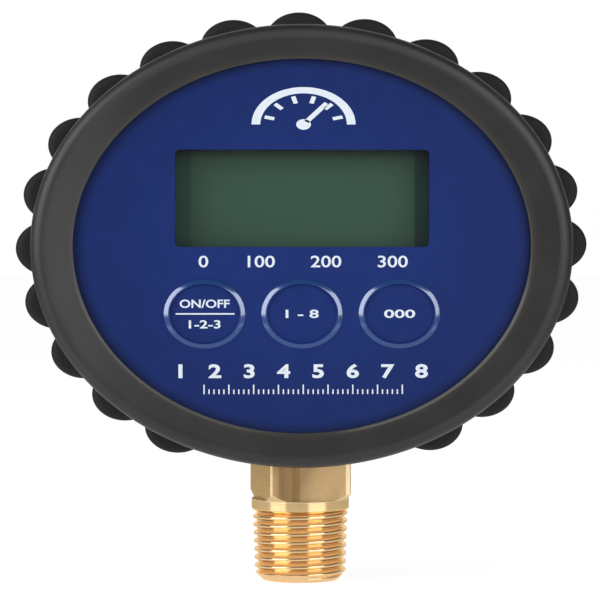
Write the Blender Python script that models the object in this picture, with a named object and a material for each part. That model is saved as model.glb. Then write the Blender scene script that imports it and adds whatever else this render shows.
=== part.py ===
"""A hand-held compression gauge with a digital read-out, piece by piece.

A moulded case in two shells carries a printed face, three keys, a display on a
circuit board and two small cells behind a door. A brass stem with a pressure
sensor is clamped between the shells, and a ribbed rubber boot is pulled over
all of it. The gauge stands upright on its stem: +Z runs up the stem, the face
looks along -Y, and the origin is the centre of the stem's lower end.

The body is an oval. Its round sections are drawn as circles, by their height,
and widened along X by OVALITY: 1.0 gives the same gauge with a round body.
"""
import math

import bmesh
import bpy
from mathutils import Matrix

MM = 0.001
OVALITY = 1.2236

# Gaps between pieces that rest on or in each other, and round the keys
GAP = 0.3 * MM
KEY_CLEARANCE = 0.2 * MM

# Rubber boot, by its height
BOOT_RADIUS = 33.15 * MM
BOOT_WALL = 2.25 * MM
BOOT_SHOULDER = 2.15 * MM
LIP_WIDTH = 5.55 * MM
LIP_THICKNESS = 2.4 * MM
BACK_LIP_WIDTH = 6.65 * MM
BACK_LIP_THICKNESS = 2.0 * MM
LIP_BEVEL = 0.25 * MM

# Grip bumps round the boot, and how many spaces they would divide a whole turn into
BUMP_COUNT = 21
BUMP_SPACES = 24
BUMP_RADIUS = 4.54 * MM
BUMP_PROUD = 1.8 * MM
BUMP_LENGTH = 25.0 * MM
BUMP_END = 1.0 * MM
BUMP_ROOT = 0.85 * MM

# Case shells, which meet near the stem's axis
CASE_FRONT_DEPTH = 14.3 * MM
CASE_BACK_DEPTH = 14.7 * MM
CASE_WALL = 2.0 * MM
CASE_BEVEL = 1.0 * MM
TONGUE_THICKNESS = 0.6 * MM
TONGUE_HEIGHT = 1.5 * MM
JOIN_BITE = 0.5 * MM

# Printed face and its window
FACE_THICKNESS = 0.8 * MM
WINDOW_WIDTH = 37.7 * MM
WINDOW_HEIGHT = 14.4 * MM
WINDOW_CORNER = 0.7 * MM
WINDOW_UP = 7.1 * MM
LENS_MARGIN = 1.8 * MM
LENS_THICKNESS = 1.2 * MM

# Display, its frame and the rubber strips that connect it
FRAME_LIP_THICKNESS = 0.8 * MM
FRAME_LIP = 0.8 * MM
FRAME_WALL = 1.0 * MM
DISPLAY_MARGIN = 1.3 * MM
DISPLAY_THICKNESS = 1.8 * MM
STRIP_WIDTH = 1.6 * MM
STRIP_LENGTH = 36.0 * MM
STRIP_HEIGHT = 1.5 * MM

# Keys and the switches under them
KEY_RADIUS = 5.1 * MM
KEY_PITCH = 14.45 * MM
KEY_DOWN = 10.0 * MM
KEY_RIM_WIDTH = 0.8 * MM
KEY_RIM_HEIGHT = 0.5 * MM
KEY_FLANGE = 0.65 * MM
KEY_FLANGE_THICKNESS = 0.6 * MM
KEY_POST_RADIUS = 1.8 * MM
SWITCH_WIDTH = 6.0 * MM
SWITCH_HEIGHT = 2.5 * MM
PLUNGER_RADIUS = 1.5 * MM
PLUNGER_PROUD = 0.9 * MM
PLUNGER_SUNK = 1.0 * MM
KEY_TRAVEL = 0.4 * MM

# Circuit board
BOARD_THICKNESS = 1.6 * MM
BOARD_BOTTOM_ROOM = 0.7 * MM
BOARD_EDGE_ROOM = 0.5 * MM
CHIP_WIDTH = 10.0 * MM
CHIP_HEIGHT = 1.5 * MM
CHIP_UP = 5.0 * MM

# Screws: the case's four and the board's four
CASE_SCREW_IN = 5.6 * MM
CASE_SCREW_UPPER_ANGLE = math.radians(60)
CASE_SCREW_LOWER_ANGLE = math.radians(-52)
CASE_SCREW_HEAD_RADIUS = 2.1 * MM
CASE_SCREW_HEAD_HEIGHT = 1.8 * MM
CASE_SCREW_SHANK = 1.2 * MM
CASE_SCREW_LENGTH = 19.0 * MM
CASE_SCREW_SUNK = 1.6 * MM
FRONT_POST_RADIUS = 2.4 * MM
BACK_POST_RADIUS = 3.2 * MM
BOARD_SCREW_IN = 5.2 * MM
BOARD_SCREW_UPPER_ANGLE = math.radians(22)
BOARD_SCREW_LOWER_ANGLE = math.radians(-22)
BOARD_POST_RADIUS = 2.2 * MM
BOARD_SCREW_HEAD_RADIUS = 1.9 * MM
BOARD_SCREW_HEAD_HEIGHT = 1.3 * MM
BOARD_SCREW_SHANK = 1.0 * MM
BOARD_SCREW_LENGTH = 5.2 * MM
SCREW_SLOT_WIDTH = 0.6 * MM
SCREW_SLOT_DEPTH = 0.8 * MM
SCREW_SLOT_REACH = 0.65

# Cells, their contacts, their bay and its door
CELL_RADIUS = 5.25 * MM
CELL_LENGTH = 43.5 * MM
CELL_BEVEL = 0.4 * MM
CELL_NUB_RADIUS = 1.9 * MM
CELL_NUB_LENGTH = 0.9 * MM
CELL_PITCH = 11.0 * MM
SPRING_LENGTH = 2.8 * MM
SPRING_RADIUS = 2.9 * MM
SPRING_WIRE = 0.3 * MM
SPRING_TURNS = 2.5
CONTACT_THICKNESS = 0.4 * MM
CONTACT_WIDTH = 8.0 * MM
BAY_UP = 1.0 * MM
BAY_FLOOR = 1.2 * MM
BAY_SIDE = 1.0 * MM
DOOR_THICKNESS = 1.6 * MM
DOOR_LEDGE = 1.45 * MM
DOOR_CORNER = 2.5 * MM
DOOR_RIB_LENGTH = 40.0 * MM
DOOR_RIB_HEIGHT = 0.9 * MM
DOOR_RIB_WIDTH = 1.2 * MM
THUMB_WIDTH = 14.0 * MM
THUMB_HEIGHT = 6.5 * MM
THUMB_DEPTH = 0.7 * MM
THUMB_UP = 7.0 * MM
RIDGE_COUNT = 4
RIDGE_WIDTH = 0.5 * MM
RIDGE_PITCH = 1.4 * MM
RIDGE_HEIGHT = 0.5 * MM

# Brass stem, from its lower end up
PORT_RADIUS = 2.25 * MM
PORT_BEVEL = 0.3 * MM
THREAD_RADIUS_END = 6.95 * MM
THREAD_RADIUS_TOP = 7.3 * MM
THREAD_CHAMFER = 1.1 * MM
THREAD_LENGTH = 10.8 * MM
COLLAR_RADIUS = 7.5 * MM
COLLAR_BEVEL = 0.2 * MM
COLLAR_HEIGHT = 1.65 * MM
SQUARE_ACROSS_FLATS = 12.7 * MM
SQUARE_SHOULDER = 1.0 * MM
SQUARE_SHOWN = 5.65 * MM
SQUARE_TURN = math.radians(14)
NECK_RADIUS = 5.5 * MM
FLANGE_ACROSS_FLATS = 14.3 * MM
FLANGE_HEIGHT = 3.0 * MM
CRADLE_HALF_WIDTH = 11.5 * MM
CRADLE_BITE = 0.2 * MM
BOSS_RADIUS = 6.4 * MM
BOSS_HEIGHT = 6.5 * MM
SEAT_DEPTH = 4.8 * MM

# Pressure sensor on the stem, and the ribbon from it to the board
SENSOR_RADIUS = 5.0 * MM
SENSOR_HEIGHT = 5.0 * MM
SENSOR_PIN_RADIUS = 0.3 * MM
SENSOR_PIN_RING = 2.2 * MM
SENSOR_PINS = 4
SEAL_RADIUS = 4.0 * MM
SEAL_SECTION = 0.65 * MM
NUT_ACROSS_FLATS = 16.0 * MM
NUT_CHAMFER = 0.6 * MM
NUT_LIP = 0.9 * MM
NUT_LIP_THICKNESS = 1.2 * MM
NUT_GRIP = 2.5 * MM
RIBBON_WIDTH = 6.0 * MM
RIBBON_THICKNESS = 0.3 * MM
RIBBON_TAIL = 4.0 * MM

# How finely round shapes are divided, and what counts as a sharp edge
BOOT_SEGMENTS = 72
CASE_SEGMENTS = 60
KEY_SEGMENTS = 28
STEM_SEGMENTS = 30
SMALL_SEGMENTS = 10
CORNER_STEPS = 4
SHOULDER_STEPS = 4
BUMP_STEPS = 7
RIM_STEPS = 6
SEAL_SIDES = 8
WIRE_SIDES = 6
COIL_STEPS = 10
PIN_SIDES = 8
SHARP_ANGLE = math.radians(32)
OVERCUT = 1.0 * MM
TINY = 0.01 * MM

# Sizes that follow from the ones above
CASE_RADIUS = BOOT_RADIUS - BOOT_WALL - GAP
CASE_INSIDE = CASE_RADIUS - CASE_WALL
LIP_OPENING = BOOT_RADIUS - LIP_WIDTH
BACK_OPENING = BOOT_RADIUS - BACK_LIP_WIDTH
CASE_SCREW_RING = CASE_INSIDE - CASE_SCREW_IN
BOARD_SCREW_RING = CASE_INSIDE - BOARD_SCREW_IN
FACE_RADIUS = LIP_OPENING - GAP
BODY_HEIGHT = THREAD_LENGTH + COLLAR_HEIGHT + SQUARE_SHOWN + BOOT_RADIUS
KEY_HOLE = KEY_RADIUS + KEY_CLEARANCE

# Depths along Y, from the front backwards
FACE_BACK = -CASE_FRONT_DEPTH - GAP
FACE_FRONT = FACE_BACK - FACE_THICKNESS
LIP_FRONT = FACE_BACK - LIP_THICKNESS
CASE_FRONT_INSIDE = -CASE_FRONT_DEPTH + CASE_WALL
FRAME_FRONT = CASE_FRONT_INSIDE + GAP
DISPLAY_FRONT = FRAME_FRONT + FRAME_LIP_THICKNESS + GAP
DISPLAY_BACK = DISPLAY_FRONT + DISPLAY_THICKNESS
STRIP_FRONT = DISPLAY_BACK + GAP
STRIP_BACK = STRIP_FRONT + STRIP_HEIGHT
BOARD_FRONT = STRIP_BACK + GAP
BOARD_BACK = BOARD_FRONT + BOARD_THICKNESS
SWITCH_BACK = BOARD_FRONT - GAP
SWITCH_FRONT = SWITCH_BACK - SWITCH_HEIGHT
PLUNGER_TOP = SWITCH_FRONT - PLUNGER_PROUD
FLANGE_FRONT = CASE_FRONT_INSIDE + GAP
KEY_BACK = PLUNGER_TOP - GAP
BACK_START = GAP
CASE_BACK_INSIDE = CASE_BACK_DEPTH - CASE_WALL
DOOR_FRONT = CASE_BACK_DEPTH - DOOR_THICKNESS
CELL_DEPTH = DOOR_FRONT - GAP - CELL_RADIUS
BAY_BOTTOM = CELL_DEPTH - CELL_RADIUS - GAP
LIP_BACK = CASE_BACK_DEPTH + GAP + BACK_LIP_THICKNESS
CASE_SCREW_HEAD = CASE_BACK_DEPTH - CASE_SCREW_SUNK - CASE_SCREW_HEAD_HEIGHT
BOARD_SCREW_HEAD = BOARD_BACK + GAP

# Heights up the stem
COLLAR_TOP = THREAD_LENGTH + COLLAR_HEIGHT
SQUARE_TOP = BODY_HEIGHT - CASE_RADIUS - GAP
FLANGE_BOTTOM = BODY_HEIGHT - CASE_INSIDE + GAP
FLANGE_TOP = FLANGE_BOTTOM + FLANGE_HEIGHT
BOSS_TOP = FLANGE_TOP + BOSS_HEIGHT
SEAT_HEIGHT = BOSS_TOP - SEAT_DEPTH
SEAL_HEIGHT = SEAT_HEIGHT + GAP + SEAL_SECTION
SENSOR_BOTTOM = SEAL_HEIGHT + SEAL_SECTION + GAP
SENSOR_TOP = SENSOR_BOTTOM + SENSOR_HEIGHT
NUT_TOP = SENSOR_TOP + GAP + NUT_LIP_THICKNESS

# The bay's and the display's half sizes
BAY_HALF_WIDTH = (CELL_LENGTH + CELL_NUB_LENGTH + SPRING_LENGTH) / 2 + CONTACT_THICKNESS + 2.5 * GAP
BAY_HALF_HEIGHT = CELL_PITCH / 2 + CELL_RADIUS + GAP
DOOR_HALF_WIDTH = BAY_HALF_WIDTH + DOOR_LEDGE
DOOR_HALF_HEIGHT = BAY_HALF_HEIGHT + DOOR_LEDGE
DISPLAY_HALF_WIDTH = WINDOW_WIDTH / 2 + DISPLAY_MARGIN
DISPLAY_HALF_HEIGHT = WINDOW_HEIGHT / 2 + DISPLAY_MARGIN


def clear_scene():
    """Empty the scene before modelling."""
    for leftover in list(bpy.data.objects):
        bpy.data.objects.remove(leftover, do_unlink=True)


def material(name, colour, roughness, metallic=0.0, alpha=1.0):
    """One finish, as a Principled BSDF."""
    finish = bpy.data.materials.new(name)
    finish.use_nodes = True
    shader = finish.node_tree.nodes["Principled BSDF"]
    shader.inputs["Base Color"].default_value = (*colour, 1.0)
    shader.inputs["Roughness"].default_value = roughness
    shader.inputs["Metallic"].default_value = metallic
    shader.inputs["Alpha"].default_value = alpha
    return finish


def solid(name, bm, finish=None):
    """Turn a bmesh into a named object with its normals outwards."""
    bmesh.ops.recalc_face_normals(bm, faces=bm.faces)
    mesh = bpy.data.meshes.new(name)
    bm.to_mesh(mesh)
    bm.free()
    piece = bpy.data.objects.new(name, mesh)
    bpy.context.scene.collection.objects.link(piece)
    dress(piece, finish)
    return piece


def dress(piece, finish):
    """Give a piece its finish, and smooth shading up to its sharp edges."""
    piece.data.materials.clear()
    if finish:
        piece.data.materials.append(finish)
    piece.data.shade_smooth()
    piece.data.set_sharp_from_angle(angle=SHARP_ANGLE)


def carve(piece, joins=(), cuts=()):
    """Join solids to a piece, then cut others out of it, and drop them all."""
    steps = [("UNION", tool) for tool in joins] + [("DIFFERENCE", tool) for tool in cuts]
    for operation, tool in steps:
        modifier = piece.modifiers.new(tool.name, "BOOLEAN")
        modifier.operation = operation
        modifier.solver = "EXACT"
        modifier.object = tool
    bpy.context.view_layer.update()
    carved = piece.evaluated_get(bpy.context.evaluated_depsgraph_get())
    mesh = bpy.data.meshes.new_from_object(carved)
    finish = piece.data.materials[0] if piece.data.materials else None
    piece.modifiers.clear()
    piece.data = mesh
    mesh.name = piece.name
    dress(piece, finish)
    for _, tool in steps:
        bpy.data.objects.remove(tool, do_unlink=True)
    return piece


def place(piece, parent, pivot=(0, 0, 0)):
    """Move a piece's origin to its pivot and hang it on its parent."""
    piece.data.transform(Matrix.Translation([-value for value in pivot]))
    piece.location = pivot
    piece.parent = parent
    return piece


def turned(profile, segments, axis="Y", closed=False):
    """Spin a profile of (radius, place along the axis) points into a solid."""
    bm = bmesh.new()
    along = (0, 1, 0) if axis == "Y" else (0, 0, 1)
    points = [(radius, at, 0) if axis == "Y" else (radius, 0, at) for radius, at in profile]
    verts = [bm.verts.new(point) for point in points]
    edges = [bm.edges.new(pair) for pair in zip(verts, verts[1:])]
    if closed:
        edges.append(bm.edges.new((verts[-1], verts[0])))
    bmesh.ops.spin(bm, geom=verts + edges, cent=(0, 0, 0), axis=along,
                   angle=math.tau, steps=segments, use_merge=True)
    bmesh.ops.remove_doubles(bm, verts=bm.verts, dist=TINY / 10)
    poles = [vert for vert in bm.verts if len(vert.link_edges) == segments]
    bmesh.ops.dissolve_verts(bm, verts=poles)
    return bm


def half_facet_on(bm):
    """Turn a cutter by half a facet, so that its edges miss those of the shell it cuts."""
    turn = Matrix.Rotation(math.pi / CASE_SEGMENTS, 3, "Y")
    bmesh.ops.rotate(bm, matrix=turn, verts=bm.verts)
    return bm


def widen(bm):
    """Make round sections oval."""
    bmesh.ops.scale(bm, vec=(OVALITY, 1, 1), verts=bm.verts)
    return bm


def shift(bm, x=0, y=0, z=0):
    """Move all of a bmesh."""
    bmesh.ops.translate(bm, vec=(x, y, z), verts=bm.verts)
    return bm


def rod(radius, start, end, x=0, z=0, segments=SMALL_SEGMENTS):
    """A plain round bar along Y."""
    return shift(turned([(0, start), (radius, start), (radius, end), (0, end)], segments), x=x, z=z)


def corner_of(across_flats, sides):
    """How far a bar's corners are from its axis."""
    return across_flats / 2 / math.cos(math.pi / sides)


def pillar(radius, bottom, top, segments=STEM_SEGMENTS):
    """A plain round bar along Z, on the stem's axis."""
    return turned([(0, bottom), (radius, bottom), (radius, top), (0, top)], segments, axis="Z")


def block(low, high):
    """A box between two corners."""
    bm = bmesh.new()
    bmesh.ops.create_cube(bm, size=1.0)
    bmesh.ops.scale(bm, vec=[b - a for a, b in zip(low, high)], verts=bm.verts)
    return shift(bm, *[(a + b) / 2 for a, b in zip(low, high)])


def prism(outline, start, end):
    """Extrude an outline of (x, z) points along Y."""
    bm = bmesh.new()
    face = bm.faces.new([bm.verts.new((x, start, z)) for x, z in outline])
    extruded = bmesh.ops.extrude_face_region(bm, geom=[face])
    moved = [item for item in extruded["geom"] if isinstance(item, bmesh.types.BMVert)]
    bmesh.ops.translate(bm, vec=(0, end - start, 0), verts=moved)
    return bm


def arc(centre, radius, start, end, steps):
    """Points along an arc, from one angle to another."""
    angles = [start + (end - start) * step / steps for step in range(steps + 1)]
    return [(centre[0] + radius * math.cos(angle), centre[1] + radius * math.sin(angle))
            for angle in angles]


def rounded_rectangle(half_width, half_height, corner, up=0):
    """Outline of a rectangle with round corners, centred on (0, up)."""
    outline = []
    for quarter in range(4):
        start = quarter * math.pi / 2
        right = 1 if quarter in (0, 3) else -1
        top = 1 if quarter in (0, 1) else -1
        centre = (right * (half_width - corner), up + top * (half_height - corner))
        outline += arc(centre, corner, start, start + math.pi / 2, CORNER_STEPS)
    return outline


def circle(radius, segments):
    """Outline of a circle round (0, 0)."""
    return arc((0, 0), radius, 0, math.tau, segments)[:-1]


def mirrored(point):
    """A point and its mirror image across the gauge's middle."""
    return [point, (-point[0], point[1])]


def ring_places(radius, *angles):
    """Places on an oval ring at each angle, on the right and on the left."""
    places = []
    for angle in angles:
        places += mirrored((OVALITY * radius * math.cos(angle), radius * math.sin(angle)))
    return places


CASE_SCREWS = ring_places(CASE_SCREW_RING, CASE_SCREW_UPPER_ANGLE, CASE_SCREW_LOWER_ANGLE)
BOARD_SCREWS = ring_places(BOARD_SCREW_RING, BOARD_SCREW_UPPER_ANGLE, BOARD_SCREW_LOWER_ANGLE)
KEYS = {"power": -KEY_PITCH, "cylinder": 0.0, "clear": KEY_PITCH}


def key_cutters(start, end):
    """Oval holes for the three keys."""
    cutters = []
    for x in KEYS.values():
        hole = turned([(0, start), (KEY_HOLE, start), (KEY_HOLE, end), (0, end)], KEY_SEGMENTS)
        cutters.append(solid("key_hole", shift(widen(hole), x=x, z=-KEY_DOWN)))
    return cutters


def boot_bumps():
    """The grip bumps: round-ended bars let into the boot's side."""
    bm = bmesh.new()
    centre_radius = BOOT_RADIUS + BUMP_PROUD - BUMP_RADIUS
    root = BOOT_RADIUS - BUMP_ROOT - centre_radius
    spread = math.acos(root / BUMP_RADIUS)
    for number in range(BUMP_COUNT):
        angle = math.pi / 2 + (number - (BUMP_COUNT - 1) / 2) * math.tau / BUMP_SPACES
        outline = arc((centre_radius, 0), BUMP_RADIUS, -spread, spread, BUMP_STEPS)
        bar = prism(outline, -BUMP_LENGTH / 2, BUMP_LENGTH / 2)
        foot = min(x for x, _ in outline)
        ends = [edge for edge in bar.edges
                if abs(edge.verts[0].co.y - edge.verts[1].co.y) < TINY
                and max(vert.co.x for vert in edge.verts) > foot + TINY]
        bmesh.ops.bevel(bar, geom=ends, offset=BUMP_END, segments=2, profile=0.5, affect="EDGES")
        bmesh.ops.rotate(bar, matrix=Matrix.Rotation(-angle, 3, "Y"), verts=bar.verts)
        one = bpy.data.meshes.new("bump")
        bar.to_mesh(one)
        bar.free()
        bm.from_mesh(one)
        bpy.data.meshes.remove(one)
    return widen(bm)


def make_boot(finish):
    """Rubber boot: a lathe-turned oval with bumps, hollowed for the case."""
    shoulder = BOOT_RADIUS - BOOT_SHOULDER
    blank = [(0, LIP_FRONT), (shoulder, LIP_FRONT)]
    blank += [(r, y) for r, y in arc((shoulder, LIP_FRONT + BOOT_SHOULDER), BOOT_SHOULDER,
                                     -math.pi / 2, 0, SHOULDER_STEPS)[1:]]
    blank += [(r, y) for r, y in arc((shoulder, LIP_BACK - BOOT_SHOULDER), BOOT_SHOULDER,
                                     0, math.pi / 2, SHOULDER_STEPS)]
    blank += [(0, LIP_BACK)]
    inside = CASE_RADIUS + GAP
    hollow = [(0, LIP_FRONT - OVERCUT), (LIP_OPENING + LIP_BEVEL + OVERCUT, LIP_FRONT - OVERCUT),
              (LIP_OPENING, LIP_FRONT + LIP_BEVEL), (LIP_OPENING, FACE_BACK), (inside, FACE_BACK),
              (inside, CASE_BACK_DEPTH + GAP), (BACK_OPENING, CASE_BACK_DEPTH + GAP),
              (BACK_OPENING, LIP_BACK - LIP_BEVEL),
              (BACK_OPENING + LIP_BEVEL + OVERCUT, LIP_BACK + OVERCUT), (0, LIP_BACK + OVERCUT)]
    boot = solid("rubber_boot", widen(turned(blank, BOOT_SEGMENTS)), finish)
    bumps = solid("bumps", boot_bumps())
    core = solid("boot_hollow", widen(turned(hollow, BOOT_SEGMENTS)))
    outlet = pillar(corner_of(SQUARE_ACROSS_FLATS, 4) + GAP, -BOOT_RADIUS - OVERCUT, -CASE_INSIDE)
    return carve(boot, joins=[bumps], cuts=[core, solid("stem_outlet", outlet)])


def stem_cutters():
    """What the case shells leave open for the stem: its neck and its flange."""
    neck = pillar(NECK_RADIUS + GAP, SQUARE_TOP - OVERCUT, FLANGE_TOP)
    pocket = hexagon(FLANGE_ACROSS_FLATS + 2 * GAP, FLANGE_BOTTOM - GAP, FLANGE_TOP + OVERCUT)
    return [solid("neck_hole", shift(neck, z=-BODY_HEIGHT)),
            solid("flange_pocket", shift(pocket, z=-BODY_HEIGHT))]


def hexagon(across_flats, bottom, top):
    """A hexagonal bar along Z with a corner to the front."""
    bm = pillar(corner_of(across_flats, 6), bottom, top, segments=6)
    bmesh.ops.rotate(bm, matrix=Matrix.Rotation(-math.pi / 2, 3, "Z"), verts=bm.verts)
    return bm


def cradle(start, end):
    """Block of a case shell that holds the stem's flange."""
    bottom = -CASE_INSIDE - CRADLE_BITE
    top = FLANGE_TOP - BODY_HEIGHT
    return solid("cradle", block((-CRADLE_HALF_WIDTH, start, bottom), (CRADLE_HALF_WIDTH, end, top)))


def make_case_front(finish):
    """Front shell: a cup with the window, the key holes and the screw posts."""
    profile = [(0, -CASE_FRONT_DEPTH), (CASE_RADIUS - CASE_BEVEL, -CASE_FRONT_DEPTH),
               (CASE_RADIUS, -CASE_FRONT_DEPTH + CASE_BEVEL), (CASE_RADIUS, 0), (CASE_INSIDE, 0),
               (CASE_INSIDE, CASE_FRONT_INSIDE), (0, CASE_FRONT_INSIDE)]
    shell = solid("case_front", widen(turned(profile, CASE_SEGMENTS)), finish)
    bite = CASE_FRONT_INSIDE - JOIN_BITE
    joins = [cradle(bite, 0)]
    joins += [solid("post", rod(FRONT_POST_RADIUS, bite, 0, x, z)) for x, z in CASE_SCREWS]
    joins += [solid("post", rod(BOARD_POST_RADIUS, bite, BOARD_FRONT - GAP, x, z)) for x, z in BOARD_SCREWS]
    window = rounded_rectangle(WINDOW_WIDTH / 2, WINDOW_HEIGHT / 2, WINDOW_CORNER, WINDOW_UP)
    lens_seat = rounded_rectangle(WINDOW_WIDTH / 2 + LENS_MARGIN + GAP,
                                  WINDOW_HEIGHT / 2 + LENS_MARGIN + GAP, WINDOW_CORNER, WINDOW_UP)
    seat_floor = -CASE_FRONT_DEPTH + LENS_THICKNESS + GAP
    cuts = [solid("window", prism(window, -CASE_FRONT_DEPTH - OVERCUT, CASE_FRONT_INSIDE + OVERCUT)),
            solid("lens_seat", prism(lens_seat, -CASE_FRONT_DEPTH - OVERCUT, seat_floor))]
    cuts += key_cutters(-CASE_FRONT_DEPTH - OVERCUT, CASE_FRONT_INSIDE + OVERCUT)
    room_in, room_out = CASE_INSIDE - GAP, CASE_INSIDE + TONGUE_THICKNESS + GAP
    groove = [(room_in, -TONGUE_HEIGHT), (room_out, -TONGUE_HEIGHT), (room_out, OVERCUT), (room_in, OVERCUT)]
    cuts.append(solid("tongue_groove", widen(half_facet_on(turned(groove, CASE_SEGMENTS, closed=True)))))
    case_pilot = CASE_SCREW_HEAD - CASE_SCREW_LENGTH - GAP
    board_pilot = BOARD_SCREW_HEAD - BOARD_SCREW_LENGTH - GAP
    cuts += [solid("pilot", rod(CASE_SCREW_SHANK + GAP, case_pilot, OVERCUT, x, z)) for x, z in CASE_SCREWS]
    cuts += [solid("pilot", rod(BOARD_SCREW_SHANK + GAP, board_pilot, 0, x, z)) for x, z in BOARD_SCREWS]
    return carve(shell, joins, cuts + stem_cutters())


def make_case_back(finish):
    """Back shell: a cup with the cell bay, the door's seat and the screw posts."""
    tongue = CASE_INSIDE + TONGUE_THICKNESS
    profile = [(0, CASE_BACK_DEPTH), (CASE_RADIUS - CASE_BEVEL, CASE_BACK_DEPTH),
               (CASE_RADIUS, CASE_BACK_DEPTH - CASE_BEVEL), (CASE_RADIUS, BACK_START),
               (tongue, BACK_START), (tongue, GAP - TONGUE_HEIGHT), (CASE_INSIDE, GAP - TONGUE_HEIGHT),
               (CASE_INSIDE, CASE_BACK_INSIDE), (0, CASE_BACK_INSIDE)]
    shell = solid("case_back", widen(turned(profile, CASE_SEGMENTS)), finish)
    bite = CASE_BACK_INSIDE + JOIN_BITE
    seat_width = DOOR_HALF_WIDTH + GAP
    seat_height = DOOR_HALF_HEIGHT + GAP
    bay_out = block((-seat_width - BAY_SIDE, BAY_BOTTOM - BAY_FLOOR, BAY_UP - seat_height - BAY_SIDE),
                    (seat_width + BAY_SIDE, bite, BAY_UP + seat_height + BAY_SIDE))
    joins = [cradle(BACK_START, bite), solid("bay", bay_out)]
    joins += [solid("post", rod(BACK_POST_RADIUS, BACK_START, bite, x, z)) for x, z in CASE_SCREWS]
    past = CASE_BACK_DEPTH + OVERCUT
    bay_in = block((-BAY_HALF_WIDTH, BAY_BOTTOM, BAY_UP - BAY_HALF_HEIGHT),
                   (BAY_HALF_WIDTH, past, BAY_UP + BAY_HALF_HEIGHT))
    seat = rounded_rectangle(seat_width, seat_height, DOOR_CORNER + GAP, BAY_UP)
    cuts = [solid("bay_inside", bay_in), solid("door_seat", prism(seat, DOOR_FRONT - GAP, past))]
    cuts += [solid("screw_way", rod(CASE_SCREW_SHANK + GAP, BACK_START - OVERCUT, past, x, z))
             for x, z in CASE_SCREWS]
    cuts += [solid("screw_seat", rod(CASE_SCREW_HEAD_RADIUS + GAP, CASE_SCREW_HEAD - GAP, past, x, z))
             for x, z in CASE_SCREWS]
    return carve(shell, joins, cuts + stem_cutters())


def make_face(finish):
    """Printed face plate with its window and key holes."""
    profile = [(0, FACE_FRONT), (FACE_RADIUS, FACE_FRONT), (FACE_RADIUS, FACE_BACK), (0, FACE_BACK)]
    plate = solid("face_plate", widen(turned(profile, BOOT_SEGMENTS)), finish)
    outline = rounded_rectangle(WINDOW_WIDTH / 2, WINDOW_HEIGHT / 2, WINDOW_CORNER, WINDOW_UP)
    window = solid("window", prism(outline, FACE_FRONT - OVERCUT, FACE_BACK + OVERCUT))
    return carve(plate, cuts=[window] + key_cutters(FACE_FRONT - OVERCUT, FACE_BACK + OVERCUT))


def make_lens(finish):
    """Clear window, let into the front of the case."""
    outline = rounded_rectangle(WINDOW_WIDTH / 2 + LENS_MARGIN, WINDOW_HEIGHT / 2 + LENS_MARGIN,
                                WINDOW_CORNER, WINDOW_UP)
    return solid("window_lens", prism(outline, -CASE_FRONT_DEPTH, -CASE_FRONT_DEPTH + LENS_THICKNESS), finish)


def make_display(glass, plastic, rubber):
    """Display glass, the frame that holds it and its two contact strips."""
    wide, high = DISPLAY_HALF_WIDTH, DISPLAY_HALF_HEIGHT
    panel = block((-wide, DISPLAY_FRONT, WINDOW_UP - high), (wide, DISPLAY_BACK, WINDOW_UP + high))
    outer_wide, outer_high = wide + GAP + FRAME_WALL, high + GAP + FRAME_WALL
    body = block((-outer_wide, FRAME_FRONT, WINDOW_UP - outer_high),
                 (outer_wide, BOARD_FRONT - GAP, WINDOW_UP + outer_high))
    room = block((-wide - GAP, DISPLAY_FRONT - GAP, WINDOW_UP - high - GAP),
                 (wide + GAP, BOARD_FRONT + OVERCUT, WINDOW_UP + high + GAP))
    view = block((FRAME_LIP - wide, FRAME_FRONT - OVERCUT, WINDOW_UP - high + FRAME_LIP),
                 (wide - FRAME_LIP, DISPLAY_FRONT, WINDOW_UP + high - FRAME_LIP))
    frame = carve(solid("display_frame", body, plastic),
                  cuts=[solid("frame_room", room), solid("frame_view", view)])
    pieces = [solid("display_glass", panel, glass), frame]
    for name, side in (("contact_strip_upper", 1), ("contact_strip_lower", -1)):
        middle = WINDOW_UP + side * (high - STRIP_WIDTH / 2)
        strip = block((-STRIP_LENGTH / 2, STRIP_FRONT, middle - STRIP_WIDTH / 2),
                      (STRIP_LENGTH / 2, STRIP_BACK, middle + STRIP_WIDTH / 2))
        pieces.append(solid(name, strip, rubber))
    return pieces


def make_board(finish, black):
    """Circuit board with room for the case's posts, and its chip."""
    outline = [(OVALITY * x, z) for x, z in circle(CASE_INSIDE - BOARD_EDGE_ROOM, CASE_SEGMENTS)]
    board = solid("circuit_board", prism(outline, BOARD_FRONT, BOARD_BACK), finish)
    low = (-BOOT_RADIUS * OVALITY, BOARD_FRONT - OVERCUT, -BOOT_RADIUS)
    high = (BOOT_RADIUS * OVALITY, BOARD_BACK + OVERCUT, NUT_TOP + BOARD_BOTTOM_ROOM - BODY_HEIGHT)
    start, end = BOARD_FRONT - OVERCUT, BOARD_BACK + OVERCUT
    cuts = [solid("board_end", block(low, high))]
    cuts += [solid("notch", rod(FRONT_POST_RADIUS + BOARD_EDGE_ROOM, start, end, x, z)) for x, z in CASE_SCREWS]
    cuts += [solid("hole", rod(BOARD_SCREW_SHANK + GAP, start, end, x, z)) for x, z in BOARD_SCREWS]
    half = CHIP_WIDTH / 2
    chip_front = BOARD_BACK + GAP
    chip = block((-half, chip_front, CHIP_UP - half), (half, chip_front + CHIP_HEIGHT, CHIP_UP + half))
    return [carve(board, cuts=cuts), solid("controller_chip", chip, black)]


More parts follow.
